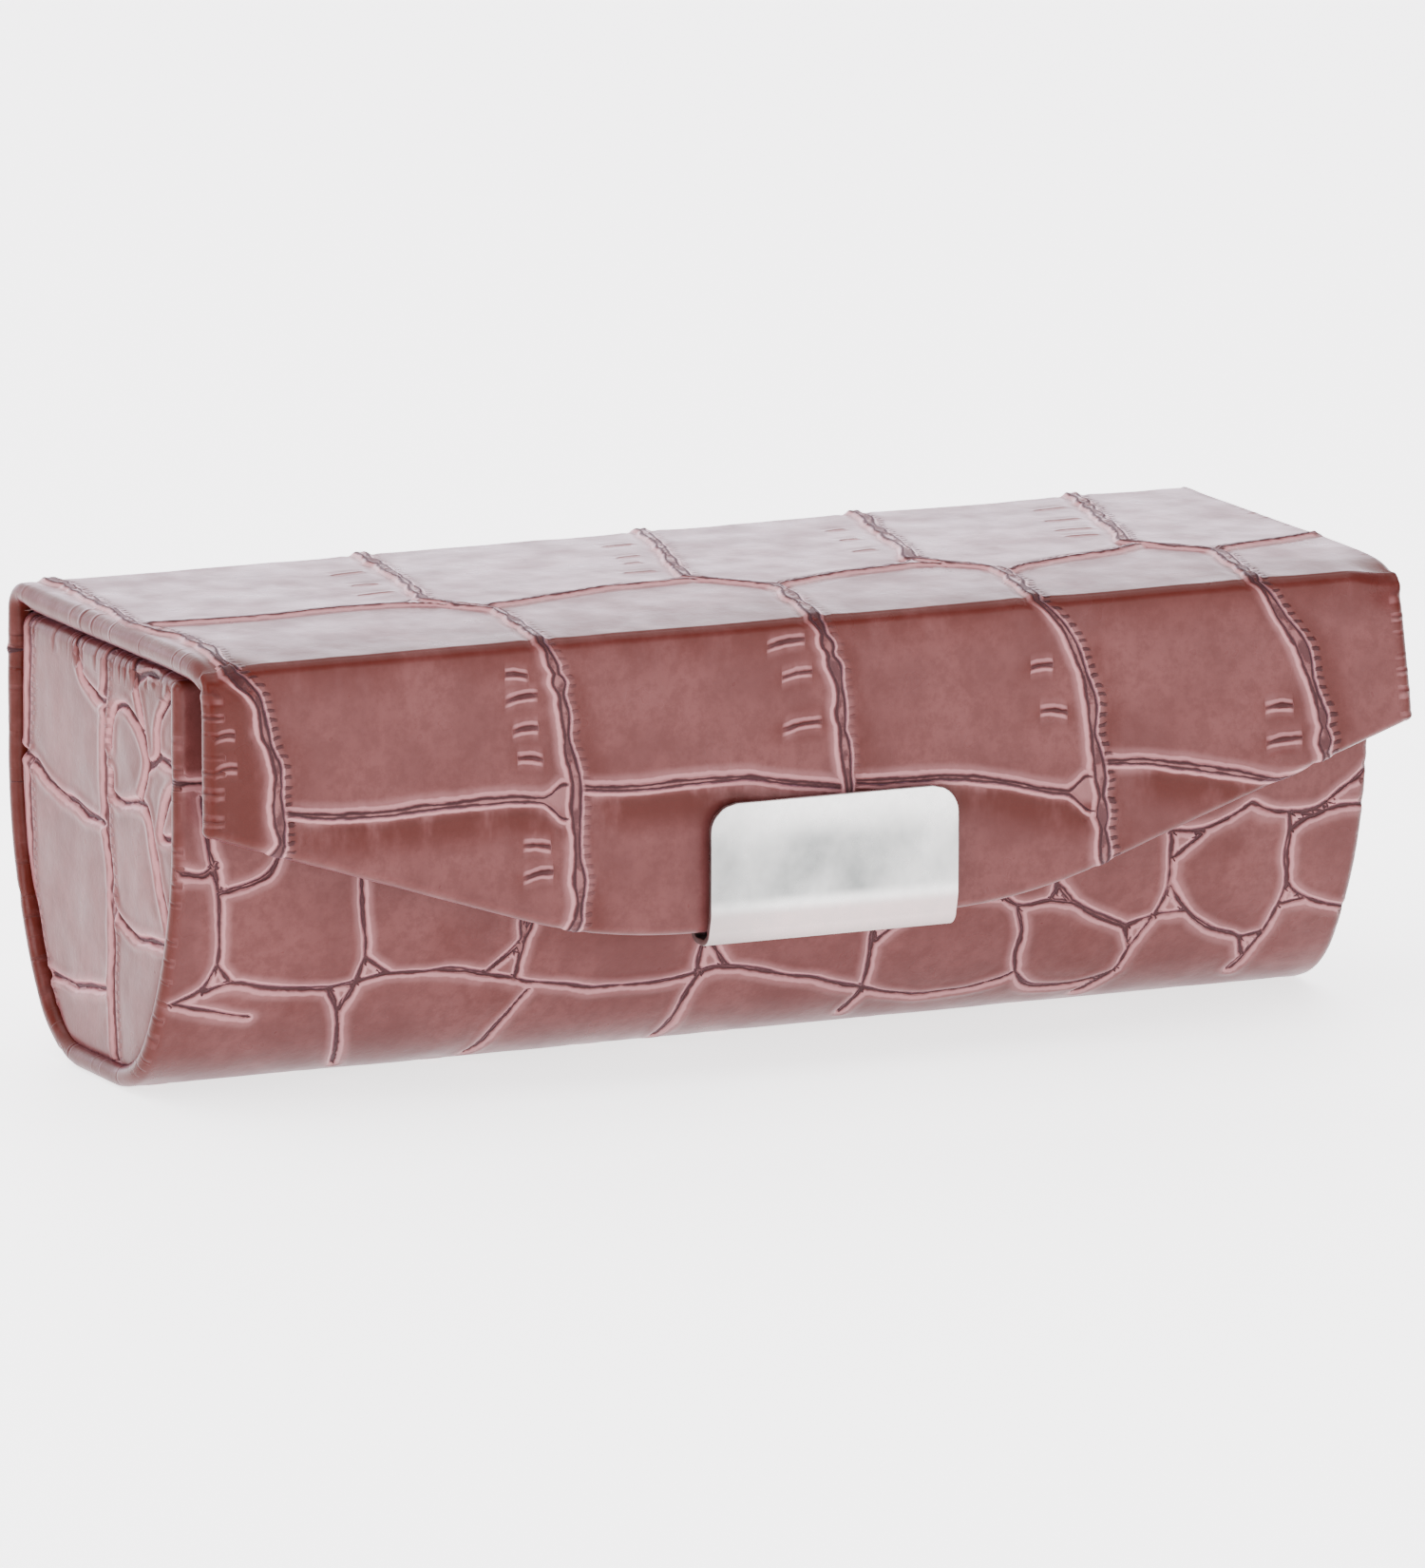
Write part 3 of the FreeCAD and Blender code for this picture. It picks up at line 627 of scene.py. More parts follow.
def flap_leather():
    """Embossed cover of the flap with its front crease, turned round its free edges."""
    x_flat = HALF - SLAB
    roll = math.pi * SLAB
    over = roll + 1.2
    u = join_steps(
        steps(-x_flat - over, -x_flat, 0.2),
        steps(-x_flat, x_flat, 0.19),
        steps(x_flat, x_flat + over, 0.2),
    )
    x_in = np.clip(u, -x_flat, x_flat)
    low = flap_edge(x_in)
    slope = np.gradient(flap_edge(np.linspace(-HALF, HALF, 921)), 0.1)
    slope = np.interp(x_in, np.linspace(-HALF, HALF, 921), slope)
    norm = np.hypot(slope, 1.0)
    nx, nz = slope / norm, -1 / norm
    low_in = low + SLAB * norm
    bend_len = CREASE_R * math.pi / 2
    top_rows = steps(1.5, CREASE_R, 0.12)
    arc_rows = steps(0, bend_len, 0.1)[1:]
    wall_share = join_steps(steps(0, 0.12, 0.018), steps(0.12, 1, 0.0105))[1:]
    roll_rows = steps(0, over, 0.17)[1:]
    uu, points, ss = [], [], []
    runs = (("top", top_rows), ("arc", arc_rows), ("wall", wall_share), ("roll", roll_rows))
    rows = [(kind, a) for kind, run in runs for a in run]
    wall_top = TOP - CREASE_R
    for kind, a in rows:
        past = np.zeros_like(u)
        if kind == "top":
            y0, z0 = np.full_like(u, FRONT_Y + a), np.full_like(u, TOP)
            ny, nzz = 0.0, 1.0
            s = np.full_like(u, a)
            thick = np.full_like(u, 0.55)
        elif kind == "arc":
            angle = a / CREASE_R
            y0 = np.full_like(u, FRONT_Y + CREASE_R - CREASE_R * math.sin(angle))
            z0 = np.full_like(u, TOP - CREASE_R + CREASE_R * math.cos(angle))
            ny, nzz = -math.sin(angle), math.cos(angle)
            s = np.full_like(u, CREASE_R * (1 - 2 * a / bend_len))
            thick = np.full_like(u, 0.45)
        else:
            share = a if kind == "wall" else 1.0
            y0 = np.full_like(u, FRONT_Y)
            z0 = wall_top + (low_in - wall_top) * share
            ny, nzz = -1.0, 0.0
            s = z0 - TOP
            thick = 0.45 + 0.45 * ramp(-z0, -wall_top, -wall_top + 1.2)
            if kind == "roll":
                past = np.full_like(u, a)
                s = s - a
        side = u - x_in
        scale = thick / SLAB
        dx, dt, depth = roll_edge(side * scale, past, np.maximum(thick, 1e-3))
        x = x_in + (SLAB - thick) * np.sign(side) * (np.abs(side) > 0) + dx + nx * dt
        widen = (SLAB - thick) * np.clip(np.abs(u) / x_flat, 0, 1) ** 8 * np.sign(u)
        x = np.where(np.abs(side) > 0, x, x + widen)
        z = z0 + nz * dt * (1.0 if kind in ("wall", "roll") else 0.0)
        lift = 0.14 * ramp(a, CREASE_R - 0.1, CREASE_R + 0.25) if kind == "top" else 0.0
        points.append(np.stack([x, y0 - ny * (depth + lift), z - nzz * (depth + lift)], -1))
        uu.append(u)
        ss.append(s)
    points, uu, ss = np.array(points), np.array(uu), np.array(ss)
    height, layers = emboss(uu, ss, wrap_relief(uu, ss), 51)
    past = np.maximum(np.abs(uu) - x_flat, 0)
    calm = np.where(past > 0, 0.4, 1.0)
    calm[-len(roll_rows) :, :] = np.minimum(calm[-len(roll_rows) :, :], 0.4)
    points += grid_normals(points) * (height * calm)[..., None]
    points[..., 2] -= front_drop(ss)
    soften_corner(points, uu, ss)
    points[..., 0] += 0.6 * ramp(points[..., 0], 20.0, HALF) * ramp(TOP - points[..., 2], 2.0, 12.0)
    front_share = ramp(-points[..., 1], -FLAP_BACK - 0.1, -FRONT_Y)
    points[..., 1] += flap_warp(points[..., 0], points[..., 2]) * front_share
    layers["marks"][..., 3] = worn_edges(uu, ss)
    faces = grid_faces(*uu.shape)
    return make_mesh("flap_leather", points.reshape(-1, 3), faces, layers)


def flap_warp(x, z):
    """The flap stands a little further out towards its lower right corner."""
    drop = np.clip((TOP - 2.0 - z) / 10.0, 0, 1.2)
    return -0.7 * ramp(x, 14.0, HALF) * drop


# ---- end panels ---------------------------------------------------------------------------
# Cell outlines on the end panels, (y, z).
END_LINES = (
    ((14.0, 21.0), (10.6, 19.9), (5.1, 18.5), (-0.9, 18.1)),
    ((8.8, 5.8), (5.8, 5.5), (-1.2, 6.4)),
    ((4.2, 31.0), (3.4, 28.5), (1.8, 27.4), (-0.9, 26.8)),
    ((-2.3, 24.0), (-2.5, 26.7), (-5.9, 27.1), (-8.5, 25.0), (-8.8, 23.5), (-7.3, 20.9)),
    ((-2.2, 22.0), (-2.4, 19.9), (-7.3, 20.9), (-8.8, 20.3), (-10.2, 17.4), (-12.1, 12.6)),
    ((-2.6, 13.2), (-3.4, 11.9), (-6.7, 10.9), (-13.0, 11.6)),
    ((-5.9, 31.0), (-6.7, 29.4), (-8.5, 25.0)),
    ((-10.4, 30.0), (-8.9, 30.2), (-6.7, 29.4)),
    ((-13.4, 29.7), (-11.6, 28.4), (-10.3, 26.6), (-10.8, 24.4), (-8.8, 23.6)),
    ((-10.8, 24.4), (-13.8, 24.0)),
    ((-13.6, 23.0), (-11.9, 21.7), (-10.6, 18.6), (-13.6, 19.4)),
)
END_BEADS = (
    ((12.2, 31.0), (12.6, 24.0), (12.3, 15.0), (11.0, 8.0), (8.6, 4.0)),
    ((-1.7, 31.0), (-1.0, 24.9), (-1.4, 19.0), (-2.8, 12.5), (-2.2, 6.9), (-2.9, 1.0)),
)


def end_leather(name, side):
    """Embossed cover of one end panel, turned over its top edge."""
    inset = 2 * RIM - 0.03
    roll = math.pi * SLAB
    low = inset
    z_in = MOUTH - SLAB
    z = join_steps(steps(low, 5.0, 0.14), steps(5.0, z_in, 0.2), steps(z_in, z_in + roll + 1.5, 0.16))
    a = steps(-1, 1, 0.2 / 13.0)
    table = np.linspace(0, HALF_RUN - 0.01, 600)
    py, pz, pny, pnz = trough_path(table)
    in_y, in_z = -(py - pny * inset), pz - pnz * inset
    half_at = np.interp(np.minimum(z, z_in), in_z[::-1], in_y[::-1])
    half_at = np.maximum(half_at, REST_HALF)
    aa, zz = np.meshgrid(a, z)
    yy = aa * half_at[:, None]
    over = np.maximum(zz - z_in, 0)
    _, dz, depth = roll_edge(0 * over, over, SLAB)
    z_pos = np.where(over > 0, z_in + dz, zz)
    wall = half_at[:, None] - np.abs(yy)
    lowest = np.minimum(wall, np.maximum(zz - low, 0) + 0.02)
    dish = 0.3 * np.exp(-lowest / 0.4)
    x = END_FACE - depth - dish
    lines, beads = END_LINES, END_BEADS
    if side > 0:
        lines = [[(-y * 0.96 + 0.4, z0) for y, z0 in line] for line in END_LINES]
        beads = [[(-y * 0.9 + 0.6, z0) for y, z0 in line] for line in END_BEADS]
    relief = line_relief(lines, yy, zz, 61, beads)
    pleats(relief[1], yy, 0.4 * ramp(zz, z_in - 1.4, z_in), 7)
    height, layers = emboss(yy, zz, relief, 71)
    height = (1.6 * height - 0.06) * np.where(over > 0, 0.4, 1.0)
    points = np.stack([side * x, yy, z_pos], -1)
    normals = grid_normals(points)
    flip = normals[len(z) // 2, len(a) // 2, 0] * side < 0
    normals = -normals if flip else normals
    points = points + normals * height[..., None]
    # Painted shade: darker where the panel sinks into its rim and below its top edge under the lid; stored
    # in the wear value, which the material turns rust.
    shade = 0.5 * np.exp(-lowest / 0.5) + 0.8 * ramp(zz, z_in - 1.6, z_in)
    layers["marks"][..., 3] = np.clip(shade, 0, 1)
    high_stain = 0.9 * ramp(zz, 25.0, 30.0) * ramp(noise(yy * 2.0, zz * 0.4, 3.0, 77), -0.2, 0.5)
    layers["marks"][..., 2] = np.maximum(layers["marks"][..., 2], high_stain)
    faces = grid_faces(*yy.shape, flip=bool(flip))
    return make_mesh(name, points.reshape(-1, 3), faces, layers)


# ---- clasp --------------------------------------------------------------------------------
def clasp_clip():
    """Bent sheet clip with rounded top corners and a soft roll under the flap's edge."""
    low, high = span("clasp_plate")
    middle = (low[0] + high[0]) / 2
    half = (high[0] - low[0]) / 2
    sheet, corner = 0.45, 2.0
    front, back, floor, top = low[1], high[1], low[2], high[2]
    bend_y, bend_z = 0.85, 0.75
    band, lean = 1.35, 0.32
    path = []
    for z in steps(top, floor + bend_z + band, 0.22):
        path.append((front, z, -1.0, 0.0))
    for share in steps(0, 1, 0.12)[1:]:
        tilt = 0.42 * min(1.0, 4.0 * share)
        y = front + lean * share**1.3
        path.append((y, floor + bend_z + band * (1 - share), -math.cos(tilt), -math.sin(tilt)))
    for angle in steps(0.42, math.pi / 2, 0.12)[1:]:
        turn = (angle - 0.42) / (math.pi / 2 - 0.42) * math.pi / 2
        y = front + lean + bend_y - bend_y * math.cos(turn)
        z = floor + bend_z - bend_z * math.sin(turn)
        path.append((y, z, -math.cos(angle), -math.sin(angle)))
    rear_bend = 0.8
    for y in steps(front + lean + bend_y, back - rear_bend, 0.3)[1:]:
        path.append((y, floor, 0.0, -1.0))
    for angle in steps(0, math.pi / 2, 0.2)[1:]:
        y = back - rear_bend + rear_bend * math.sin(angle)
        z = floor + rear_bend - rear_bend * math.cos(angle)
        path.append((y, z, math.sin(angle), -math.cos(angle)))
    for z in steps(floor + rear_bend, floor + 6.0, 0.5)[1:]:
        path.append((back, z, 1.0, 0.0))
    path = np.array(path)
    a = steps(-1, 1, 0.25 / half)
    near_top = np.clip(path[:, 1] - (top - corner), 0, corner)
    on_front = path[:, 2] < -0.99
    cut = np.where(on_front, corner - np.sqrt(np.maximum(corner**2 - near_top**2, 0)), 0)
    width = half - cut
    aa, _ = np.meshgrid(a, path[:, 0])
    x = middle + aa * width[:, None]
    y = np.repeat(path[:, 0][:, None], len(a), 1)
    z = np.repeat(path[:, 1][:, None], len(a), 1)
    crown = 0.1 * (1 - np.clip((x - middle) / half, -1, 1) ** 4)
    dent = 0.03 * noise(x, z, 4.0, 91) + 0.012 * noise(x, z, 1.5, 92)
    move = np.where(on_front[:, None], crown * 0.5 + dent, 0.0) - 0.05
    y = y + path[:, 2][:, None] * move
    z = z + path[:, 3][:, None] * move
    points = np.stack([x, y, z], -1)
    points[..., 1] += 0.5 * flap_warp(points[..., 0], points[..., 2])
    clip = make_mesh("clasp_clip", points.reshape(-1, 3), grid_faces(*aa.shape))
    solid = clip.modifiers.new("sheet", "SOLIDIFY")
    solid.thickness = sheet * MM
    solid.offset = -1
    soft = clip.modifiers.new("edges", "BEVEL")
    soft.width = 0.1 * MM
    soft.segments = 2
    soft.limit_method = "ANGLE"
    soft.angle_limit = math.radians(50)
    return clip


def flap_board_sheet():
    """Board inside the flap, cut back from the leather's edge all round."""
    inset = 1.1
    half = HALF - inset
    x = steps(-half, half, 0.8)
    low = flap_edge(x * HALF / half) + inset
    share = steps(0, 1, 0.05)
    xx = np.repeat(x[None, :], len(share), 0)
    zz = low + (span("flap_board")[1][2] - 0.3 - low) * share[:, None]
    yy = np.full_like(xx, span("flap_board")[0][1] + 0.1)
    points = np.stack([xx, yy, zz], -1)
    return board_sheet("flap_board_sheet", points, 0.7)


def lid_board_sheet():
    """Board inside the lid, a little below its leather and eased off at the front corners."""
    low, high = span("lid_board")
    half = high[0] - 0.8
    xx, yy = np.meshgrid(steps(-half, half, 0.8), steps(low[1] + 0.4, high[1] - 0.2, 0.8))
    ease = 0.4 * ramp(np.abs(xx), half - 4.0, half) * bump(yy - low[1], 2.5)
    points = np.stack([xx, yy, high[2] - 0.2 - ease], -1)
    return board_sheet("lid_board_sheet", points, 0.5)


def board_sheet(name, points, thickness):
    """Solid board whose outer face is the given grid."""
    sheet = make_mesh(name, points.reshape(-1, 3), grid_faces(*points.shape[:2]))
    solid = sheet.modifiers.new("board", "SOLIDIFY")
    solid.thickness = thickness * MM
    solid.offset = -1
    return sheet


# ---- velvet interior ----------------------------------------------------------------------
VELVET_IN = 1.85  # velvet face of the trough, measured inwards from its outer skin
VELVET_TOP = MOUTH - 0.9


def inner_half(z, inset=VELVET_IN):
    """Half width of the trough's inside at height z."""
    table = np.linspace(0, HALF_RUN - 0.01, 600)
    y, z0, ny, nz = trough_path(table)
    return np.maximum(np.interp(z, (z0 - nz * inset)[::-1], -(y - ny * inset)[::-1]), REST_HALF)


def nap(points, seed, amount=0.05):
    """Soft unevenness of a padded velvet face."""
    a, b, c = points[..., 0], points[..., 1], points[..., 2]
    return amount * (noise(a, b + 0.7 * c, 6.0, seed) + 0.5 * noise(a, b - c, 2.1, seed + 1))


def trough_velvet():
    """Velvet sheet inside the trough, thinning to its top edges."""
    start = MOUTH - VELVET_TOP
    t = join_steps(
        steps(start, start + 1.2, 0.1),
        steps(start + 1.2, 2 * HALF_RUN - start - 1.2, 0.5),
        steps(2 * HALF_RUN - start - 1.2, 2 * HALF_RUN - start, 0.1),
    )
    x = steps(-INNER_X - 0.1, INNER_X + 0.1, 0.6)
    xx, tt = np.meshgrid(x, t)
    y, z, ny, nz = trough_path(tt)
    edge = np.minimum(tt, 2 * HALF_RUN - tt) - start
    inset = VELVET_IN - 0.42 * np.exp(-edge / 0.3)
    points = np.stack([xx, y - ny * inset, z - nz * inset], -1)
    points += grid_normals(points) * nap(points, 201)[..., None]
    return make_mesh("trough_velvet", points.reshape(-1, 3), grid_faces(*xx.shape))


def end_velvet(name, side):
    """Velvet face on the inside of one end panel."""
    z = join_steps(steps(VELVET_IN + 0.05, VELVET_TOP - 1.0, 0.4), steps(VELVET_TOP - 1.0, VELVET_TOP, 0.1))
    a = steps(-1, 1, 0.4 / 13.0)
    aa, zz = np.meshgrid(a, z)
    yy = aa * (inner_half(zz) + 0.1)
    x = INNER_X - 0.14 + 0.2 * np.exp(-(VELVET_TOP - zz) / 0.25)
    points = np.stack([side * x, yy, zz], -1)
    points[..., 0] += nap(points, 205 + side, 0.04)
    return make_mesh(name, points.reshape(-1, 3), grid_faces(*aa.shape, flip=side > 0))


ROLLS, ROLL_PITCH, ROLL_RADIUS, ROLL_HALF = 6, 9.2, 4.5, 12.4
ROLL_FLOOR = span("ring_rolls")[0][2]
WELL_END = span("ring_foam")[1][0]


def ring_bed():
    """Padded bed that dips between the rolls and follows the trough below."""
    low = span("ring_foam")[0][2]
    x = steps(-INNER_X + 0.15, WELL_END - 0.05, 0.35)
    top_y = steps(-1, 1, 0.05) * (float(inner_half(np.array(ROLL_FLOOR))) - 0.2)
    t = np.linspace(run_at(ROLL_FLOOR - 0.8), 2 * HALF_RUN - run_at(ROLL_FLOOR - 0.8), 40)
    y, z, ny, nz = trough_path(t)
    inset = VELVET_IN + 0.15
    loop_y = np.concatenate([top_y, (y - ny * inset)[::-1], top_y[:1]])
    loop_z = np.concatenate([np.full(len(top_y), ROLL_FLOOR), (z - nz * inset)[::-1], [ROLL_FLOOR]])
    loop_z = np.maximum(loop_z, low + 0.1)
    xx, yy = np.meshgrid(x, loop_y)
    zz = np.repeat(loop_z[:, None], len(x), 1)
    phase = (xx + INNER_X - ROLL_PITCH / 2) / ROLL_PITCH
    face = ramp(zz, ROLL_FLOOR - 0.3, ROLL_FLOOR)
    zz = zz - face * 0.35 * np.sin(math.pi * phase) ** 2 - face * 0.3 * ramp(np.abs(yy), 11.0, 13.0)
    points = np.stack([xx, yy, zz], -1)
    points[..., 2] += face * nap(points, 211, 0.08)
    return make_mesh("ring_bed", points.reshape(-1, 3), grid_faces(*xx.shape))


def ring_rolls():
    """Row of padded velvet rolls with gathered ends."""
    verts, quads = [], []
    cap, edge = ROLL_RADIUS - 1.2, 1.2
    profile = [(r, -ROLL_HALF) for r in steps(0.02, cap, 0.3)]
    for angle in steps(0, math.pi / 2, 0.2)[1:]:
        profile.append((cap + edge * math.sin(angle), -ROLL_HALF + edge - edge * math.cos(angle)))
    profile += [(ROLL_RADIUS, y) for y in steps(-ROLL_HALF + edge, 0, 0.5)[1:]]
    profile += [(r, -y) for r, y in profile[-2::-1]]
    profile = np.array(profile)
    angle = np.linspace(0, 2 * math.pi, int(96 / FINE) + 1)
    for k in range(ROLLS):
        rr = np.repeat(profile[:, 0][:, None], len(angle), 1)
        yy = np.repeat(profile[:, 1][:, None], len(angle), 1)
        aa = np.repeat(angle[None, :], len(profile), 0)
        end = ROLL_HALF - np.abs(yy)
        pleat = np.cos(15 * aa + 0.8 * np.sin(2 * aa + k) + 1.3 * k)
        on_cap = ramp(rr, 0.3, 1.4) * np.exp(-end / 0.6)
        yy = yy - np.sign(yy) * (0.16 * pleat * on_cap + 0.5 * bump(rr, 1.1) * (end < 1.5))
        radius = rr + 0.07 * pleat * np.exp(-end / 2.2) * ramp(rr, 2.0, 4.0)
        radius += 0.07 * noise(4.0 * np.cos(aa) + 9 * k, yy + 5.0 * np.sin(aa), 3.4, 221) * (rr > 1)
        x = radius * np.sin(aa)
        z = np.maximum(radius * np.cos(aa), -4.5)
        middle = -INNER_X + ROLL_PITCH * (k + 0.5)
        points = np.stack([middle + x, yy, ROLL_FLOOR + 4.55 + z], -1)
        start = len(verts) * len(angle) * len(profile)
        verts.append(points.reshape(-1, 3))
        quads.append(grid_faces(*aa.shape) + start)
    return make_mesh("ring_rolls_velvet", np.vstack(verts), np.vstack(quads))


def divider_velvet():
    """Velvet folded over the cross board."""
    low, high = span("compartment_divider")
    middle, half = (low[0] + high[0]) / 2, (high[0] - low[0]) / 2
    path = [(-half, z) for z in steps(low[2] + 0.1, high[2] - half, 0.4)]
    for angle in steps(0, math.pi, 0.25)[1:]:
        path.append((-half * math.cos(angle), high[2] - half + half * math.sin(angle)))
    path += [(half, z) for z in steps(high[2] - half, low[2] + 0.1, 0.4)[1:]]
    path = np.array(path)
    a = steps(-1, 1, 0.035)
    aa, zz = np.meshgrid(a, path[:, 1])
    xx = np.repeat(path[:, 0][:, None], len(a), 1)
    yy = aa * (inner_half(zz) + 0.12)
    puff = 1 + 0.12 * noise(yy, zz, 5.0, 231)
    points = np.stack([middle + xx * puff, yy, zz], -1)
    return make_mesh("divider_velvet", points.reshape(-1, 3), grid_faces(*aa.shape))


def lid_velvet():
    """Velvet face under the lid, turned up over its rear end."""
    front, rear = span("lid_lining")[0][1] + 0.3, span("lid_lining")[1][1] + 0.12
    half = span("lid_lining")[1][0]
    face = LID_UNDER - 0.17
    run = join_steps(steps(front, front + 1.2, 0.1), steps(front + 1.2, rear - 0.3, 0.5))
    path = [(y, face, 0, -1) for y in run]
    for angle in steps(0, math.pi / 2, 0.3)[1:]:
        turn = (rear - 0.3 + 0.3 * math.sin(angle), face + 0.3 - 0.3 * math.cos(angle))
        path.append(turn + (math.sin(angle), -math.cos(angle)))
    path += [(rear, z, 1, 0) for z in steps(face + 0.3, TOP - 0.75, 0.2)[1:]]
    path = np.array(path)
    x = join_steps(
        steps(-half, -half + 1.2, 0.1),
        steps(-half + 1.2, half - 1.2, 0.6),
        steps(half - 1.2, half, 0.1),
    )
    xx, yy = np.meshgrid(x, path[:, 0])
    zz = np.repeat(path[:, 1][:, None], len(x), 1)
    edge = np.minimum(half - np.abs(xx), np.maximum(yy - front, 0))
    thin = 0.2 * np.exp(-edge / 0.3)
    points = np.stack([xx, yy, zz], -1)
    move = nap(points, 241, 0.03) - thin
    points[..., 1] += path[:, 2][:, None] * move
    points[..., 2] += path[:, 3][:, None] * move
    return make_mesh("lid_velvet", points.reshape(-1, 3), grid_faces(*xx.shape, flip=True))


def mirror_plate():
    """Glass plate with rounded corners and a ground bevel round its lower face."""
    low, high = span("mirror_glass")
    half_x, half_y, corner, bevel = high[0], high[1], 1.5, 0.9
    angles = np.concatenate([steps(q, q + math.pi / 2, 0.2) for q in np.arange(4) * math.pi / 2])
    quarter = np.repeat(np.arange(4), len(angles) // 4)
    sign_x = np.array([1, -1, -1, 1])[quarter]
    sign_y = np.array([1, 1, -1, -1])[quarter]
    loops = []
    rows = ((half_y, high[2]), (0, high[2]), (0, low[2] + 0.35), (bevel, low[2]), (half_y, low[2]))
    for inset, z in rows:
        radius = max(corner - inset, 0)
        keep = max(corner, inset)
        x = sign_x * (half_x - keep) + radius * np.cos(angles)
        y = sign_y * (half_y - keep) + radius * np.sin(angles)
        loop = np.stack([x, y, np.full(len(x), z)], -1)
        loops.append(np.vstack([loop, loop[:1]]))
    points = np.array(loops)
    plate = make_mesh("mirror_plate", points.reshape(-1, 3), grid_faces(*points.shape[:2]))
    plate.data.polygons.foreach_set("use_smooth", np.zeros(len(plate.data.polygons), bool))
    return plate


def strip(name, path, seed, hub, reach, flip=False, floor=None):
    """Velvet strip along x whose section is the given path of (y, z) points.

    Its ends flare away from the hub by the factor reach, to meet the leather outside it. Past
    the end panels' inner faces it stays above the floor height, where one is given.
    """
    pts = rounded(path, 2)
    run = np.concatenate([[0], np.cumsum(np.hypot(*np.diff(pts, axis=0).T))])
    at = steps(0, run[-1], 0.07)
    y, z = np.interp(at, run, pts[:, 0]), np.interp(at, run, pts[:, 1])
    half = HALF - 0.9
    along = steps(-half, half, 0.5)
    flare = np.linspace(reach, 1.0, 4)[:-1]
    x = np.concatenate([np.full(len(flare), -half), along, np.full(len(flare), half)])
    scale = np.concatenate([flare, np.ones(len(along)), flare[::-1]])
    xx, yy = np.meshgrid(x, y)
    zz = np.repeat(z[:, None], len(x), 1)
    points = np.stack([xx, hub[0] + (yy - hub[0]) * scale, hub[1] + (zz - hub[1]) * scale], -1)
    points[..., 2] += nap(points, seed, 0.02)
    if floor is not None:
        outside = np.abs(xx) > INNER_X + 0.2
        points[..., 2] = np.where(outside, np.maximum(points[..., 2], floor), points[..., 2])
    return make_mesh(name, points.reshape(-1, 3), grid_faces(*xx.shape, flip=flip))


def hinge_velvet():
    """Gusset over the rear wall's rim and up the inside of the rear fold."""
    wall, rim = HINGE_Y - 2 * RIM - 0.1, MOUTH + 0.09
    path = [(wall - 0.1, MOUTH - 1.4), (wall - 0.02, MOUTH - 0.4), (wall + 0.2, rim - 0.12)]
    path += [(HINGE_Y - RIM, rim), (HINGE_Y - 0.55, rim + 0.05), (HINGE_Y - 0.5, rim + 0.5)]
    path += [(HINGE_Y - 0.65, TOP - 1.2), (HINGE_Y - 1.0, TOP - 0.8), (HINGE_Y - 1.3, TOP - 0.75)]
    path += [(HINGE_Y - 1.35, TOP - 0.9)]
    hub = (HINGE_Y - HINGE_R, TOP - HINGE_R)
    return strip("hinge_velvet", path, 251, hub, 1.17, floor=rim)


def fold_velvet():
    """Gusset across the inside of the front fold."""
    lid_y, under = span("lid_cover")[0][1], LID_UNDER - 0.16
    path = [(lid_y + 1.4, under), (lid_y + 0.6, under), (lid_y + 0.1, under - 0.1)]
    path += [(FLAP_BACK + 0.17, under - 0.45), (FLAP_BACK + 0.14, under - 1.0)]
    path += [(FLAP_BACK + 0.12, under - 1.5)]
    hub = (lid_y + 1.4, under - 1.5)
    return strip("fold_velvet", path, 255, hub, 1.35, flip=True)


def flap_velvet():
    """Velvet face on the back of the flap."""
    inset = 1.5
    half = HALF - inset
    x = steps(-half, half, 0.5)
    low = flap_edge(x * HALF / half) + inset
    high = span("flap_lining")[1][2] - 0.15
    share = join_steps(steps(0, 0.08, 0.008), steps(0.08, 1, 0.03))
    xx = np.repeat(x[None, :], len(share), 0)
    zz = low + (high - low) * share[:, None]
    edge = np.minimum(half - np.abs(xx), zz - low)
    yy = FLAP_BACK + 0.14 - 0.2 * np.exp(-edge / 0.3)
    points = np.stack([xx, yy, zz], -1)
    points[..., 1] += nap(points, 261, 0.03)
    return make_mesh("flap_velvet", points.reshape(-1, 3), grid_faces(*xx.shape, flip=True))


